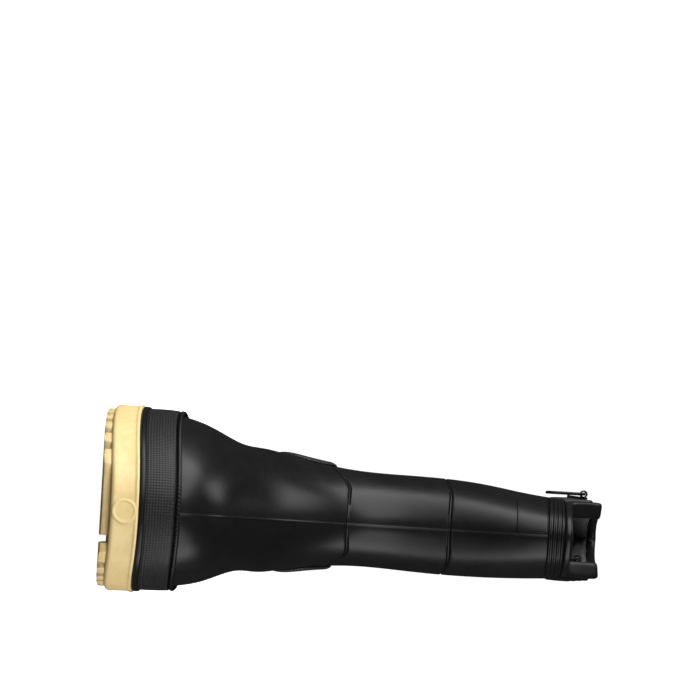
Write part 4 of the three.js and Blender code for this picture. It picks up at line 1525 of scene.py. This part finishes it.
@dataclass
class Fittings:
    """Pull loops beside the rim and the keepers that they hang from."""

    shop: Workshop
    band: float = 6
    outer_power: float = 3.0
    inner_power: float = 4.0
    steps: int = 384
    groove_depth: float = 0.12
    keeper_rounding: float = 0.25

    def build(self) -> None:
        """Builds a loop and a keeper on each side."""
        for side in Side:
            self.loop(side)
            self.keeper(side)

    def loop(self, side: Side) -> None:
        """Strap loop: a flat section carried round a rounded rectangle, with a round bar at its top.

        Args:
            side: side of the foot.
        """
        name = side.name.lower()
        low, high = self.shop.form.corners(f"pull_loop_{name}")
        thick = high[0] - low[0]
        middle = (low + high) / 2
        half_y = (high[1] - low[1]) / 2
        turn = np.linspace(0, TAU, self.steps + 1)[:-1]
        outer = self.rounded(turn, half_y, (high[2] - low[2]) / 2, self.outer_power, 0.0)
        inner_half_z = ((high[2] - thick) - (low[2] + self.band)) / 2
        shift = ((high[2] - thick) + (low[2] + self.band)) / 2 - middle[2]
        inner = self.rounded(turn, half_y - self.band, inner_half_z, self.inner_power, shift)
        half = thick / 2
        quarter = np.array([(0, 0.45), (0.04, 0.8), (0.12, 1), (0.3, 1), (0.5, 1)])
        mirrored = np.stack([1 - quarter[-2::-1, 0], quarter[-2::-1, 1]], axis=1)
        face = np.concatenate([quarter, mirrored])
        section = np.concatenate([face[:1], face * (1, -1), face[:0:-1]])
        across = section[:, 0][:, None, None]
        place = outer[None] + (inner - outer)[None] * across
        groove = self.groove_depth * np.exp(-(((np.abs(section[:, 0] - 0.5) - 0.2) / 0.06) ** 2))
        x = middle[0] + (half - groove) * section[:, 1]
        y, z = middle[1] + place[..., 0], middle[2] + place[..., 1]
        points = np.stack([np.broadcast_to(x[:, None], y.shape), y, z], axis=-1)
        faces = grid_faces(*y.shape, True, True)
        self.shop.piece(f"strap_{name}", points, faces, Slot.STRAP, (f"pull_loop_{name}",), f"{name}_loop")

    @staticmethod
    def rounded(turn: Array, half_y: float, half_z: float, power: float, shift: float) -> Array:
        """Rounded rectangle: a superellipse whose exponent is twice the power.

        Args:
            turn: turns round the rectangle.
            half_y: half its width.
            half_z: half its height.
            power: half the exponent.
            shift: how far up it is moved.

        Returns:
            Array of Y and Z, with a last axis of length 2.
        """
        c, s = np.cos(turn), np.sin(turn)
        squash = 1 / power
        y = half_y * np.sign(c) * np.abs(c) ** squash
        z = half_z * np.sign(s) * np.abs(s) ** squash
        return np.stack([y, z + shift], axis=-1)

    def keeper(self, side: Side) -> None:
        """Keeper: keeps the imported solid's form and gets rounded edges.

        Args:
            side: side of the foot.
        """
        name = side.name.lower()
        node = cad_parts[f"loop_keeper_{name}"]
        mesh = node.data.copy()
        made = bpy.data.objects.new(f"keeper_{name}", mesh)
        bpy.context.scene.collection.objects.link(made)
        made.matrix_world = node.matrix_world.copy()
        mesh.materials.clear()
        mesh.materials.append(self.shop.finishes[Slot.STRAP])
        weld(made)
        bevel = made.modifiers.new("rounding", "BEVEL")
        bevel.width = self.keeper_rounding * MM
        bevel.segments = 2
        bevel.limit_method = "ANGLE"
        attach(made, "boot")
        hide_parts(f"loop_keeper_{name}")
        log.info("keeper %s: %d faces", name, len(mesh.polygons))


# ----------------------------------------------------------------------------------------------------
# Hidden layers


HIDDEN_SLOTS = {
    "midsole_filler": Slot.SPONGE,
    "steel_shank": Slot.STEEL,
    "puncture_plate": Slot.STEEL,
    "insole_board": Slot.BOARD,
    "toe_cap": Slot.STEEL,
    "heel_counter": Slot.BOARD,
    "insulation": Slot.FELT,
}


def dress_hidden_layers(finishes: dict[Slot, bpy.types.Material]) -> None:
    """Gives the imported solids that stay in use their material.

    Args:
        finishes: the materials by slot.
    """
    for name, slot in HIDDEN_SLOTS.items():
        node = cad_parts[name]
        node.data.materials.clear()
        node.data.materials.append(finishes[slot])
        log.info("%s: %s", name, slot.value)


@dataclass
class Insole:
    """Footbed of sponge rubber with a rounded edge."""

    shop: Workshop
    inset: float = -17.3
    lift: float = 2 * GAP + 3.4

    def build(self) -> None:
        """Builds the footbed from a closed section at each station from toe to heel."""
        form = self.shop.form
        angle = form.toe_to_heel(160, 2000)
        edge = ((-1.5, 0), (-0.4, 0.3), (0, 1.2), (0, 4.2), (-0.4, 5.1), (-1.5, 5.5))
        profile = tuple((self.inset + grow, 1, self.lift + rise) for grow, rise in edge)
        section = form.sole_sections(angle, profile, 24)
        faces = grid_faces(*section.shape[:2], False, True)
        made = self.shop.piece("insole", section, faces, Slot.SPONGE, ("footbed",))
        weld(made)


# ----------------------------------------------------------------------------------------------------
# Studio


@dataclass(frozen=True)
class Softbox:
    """One area light: where it is, what it faces, its size and its power."""

    name: str
    place: tuple[float, float, float]
    target: tuple[float, float, float]
    size: tuple[float, float]
    power: float


@dataclass
class Studio:
    """Pale sweep, soft light and the camera, which lies on its side like the boot."""

    lens: float = 179.7
    distance: float = 2.5
    camera_height: float = 0.228
    roll: float = 3.375
    aim: tuple[float, float] = (0.0093, 0.17)
    ambient: float = 0.02
    shift: tuple[float, float] = (0.004, 0.249)
    sensor: float = 36
    softboxes: tuple[Softbox, ...] = (
        Softbox("key_softbox", (-1.48, -0.65, 0.53), (0, 0, 0.25), (3.2, 1.3), 74),
        Softbox("top_softbox", (-0.81, 0.33, 1.54), (0, 0, 0.15), (0.9, 0.8), 8),
        Softbox("fill_softbox", (1.45, -0.65, 0.5), (0, 0, 0.2), (3.4, 1.2), 44),
    )

    def build(self) -> None:
        """Builds the whole studio."""
        self.sweep()
        self.backdrop()
        for box in self.softboxes:
            self.light(box)
        world = bpy.data.worlds.new("studio_air")
        bpy.context.scene.world = world
        world.use_nodes = True
        background = world.node_tree.nodes["Background"]
        background.inputs["Color"].default_value = (1, 1, 1, 1)
        background.inputs["Strength"].default_value = self.ambient
        self.camera()
        scene = bpy.context.scene
        scene.view_settings.view_transform = "Standard"
        scene.view_settings.look = "None"

    def plane(self, name: str, corners: list[tuple[float, float, float]]) -> bpy.types.Object:
        """Makes one quad of the stage.

        Args:
            name: its name.
            corners: its four corners, in metres.

        Returns:
            The new object.
        """
        mesh = bpy.data.meshes.new(name)
        mesh.from_pydata(corners, [], [(0, 1, 2, 3)])
        mesh.update()
        made = bpy.data.objects.new(name, mesh)
        bpy.context.scene.collection.objects.link(made)
        return made

    def sweep(self) -> None:
        """Pale floor."""
        made = self.plane("floor", [(-4, -3, 0), (4, -3, 0), (4, 4, 0), (-4, 4, 0)])
        sheet = Sheet("pale_floor")
        grain = sheet.noise(sheet.place(), 300, 3, 0.5)
        values = {
            "Base Color": sheet.blend(grain, "f4f4f3", "fafafa"),
            "Roughness": 0.85 + grain * 0.1,
            "Emission Color": (1, 1, 1, 1),
            "Emission Strength": 1.0,
        }
        made.data.materials.append(sheet.finish(values))
        made.visible_glossy = False
        made.visible_diffuse = False

    def backdrop(self) -> None:
        """Glowing white wall behind the boot, which lights nothing."""
        made = self.plane("backdrop", [(-4, 4, -1), (4, 4, -1), (4, 4, 4), (-4, 4, 4)])
        sheet = Sheet("white_wall")
        values = {"Base Color": (0, 0, 0, 1), "Emission Color": (1, 1, 1, 1), "Emission Strength": 1.05}
        made.data.materials.append(sheet.finish(values))
        made.visible_glossy = False
        made.visible_diffuse = False
        made.visible_shadow = False

    @staticmethod
    def light(box: Softbox) -> None:
        """Makes an area light that faces its target.

        Args:
            box: the light.
        """
        data = bpy.data.lights.new(box.name, "AREA")
        data.shape = "RECTANGLE"
        data.size, data.size_y = box.size
        data.energy = box.power
        made = bpy.data.objects.new(box.name, data)
        bpy.context.scene.collection.objects.link(made)
        made.location = box.place
        facing = Vector(box.target) - Vector(box.place)
        made.rotation_mode = "QUATERNION"
        made.rotation_quaternion = facing.to_track_quat("-Z", "Y")

    def camera(self) -> None:
        """Camera in front of the toe, turned so that the boot points to the right of the picture."""
        data = bpy.data.cameras.new("camera")
        data.lens = self.lens
        data.sensor_width = self.sensor
        data.shift_x, data.shift_y = self.shift
        made = bpy.data.objects.new("camera", data)
        bpy.context.scene.collection.objects.link(made)
        made.location = (self.aim[0], -self.distance, self.camera_height)
        facing = Vector((self.aim[0], 0, self.aim[1])) - made.location
        upright = facing.to_track_quat("-Z", "Y")
        made.rotation_mode = "QUATERNION"
        made.rotation_quaternion = upright @ Quaternion((0, 0, 1), math.radians(90 + self.roll))
        bpy.context.scene.camera = made


def main() -> None:
    """Builds the boot and its studio."""
    logging.basicConfig(level=logging.INFO, format="%(name)s %(message)s")
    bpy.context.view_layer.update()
    form = BootForm()
    low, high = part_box("steel_shank")
    form.origin = Vector(((low.x + high.x) / 2, (low.y + high.y) / 2 - form.arch_middle * MM, 0))
    finishes = make_finishes()
    shop = Workshop(form, finishes)
    dress_hidden_layers(finishes)
    SoleUnit(shop).build()
    Upper(shop).build()
    Fittings(shop).build()
    Insole(shop).build()
    Studio().build()


if __name__ == "__main__":
    main()
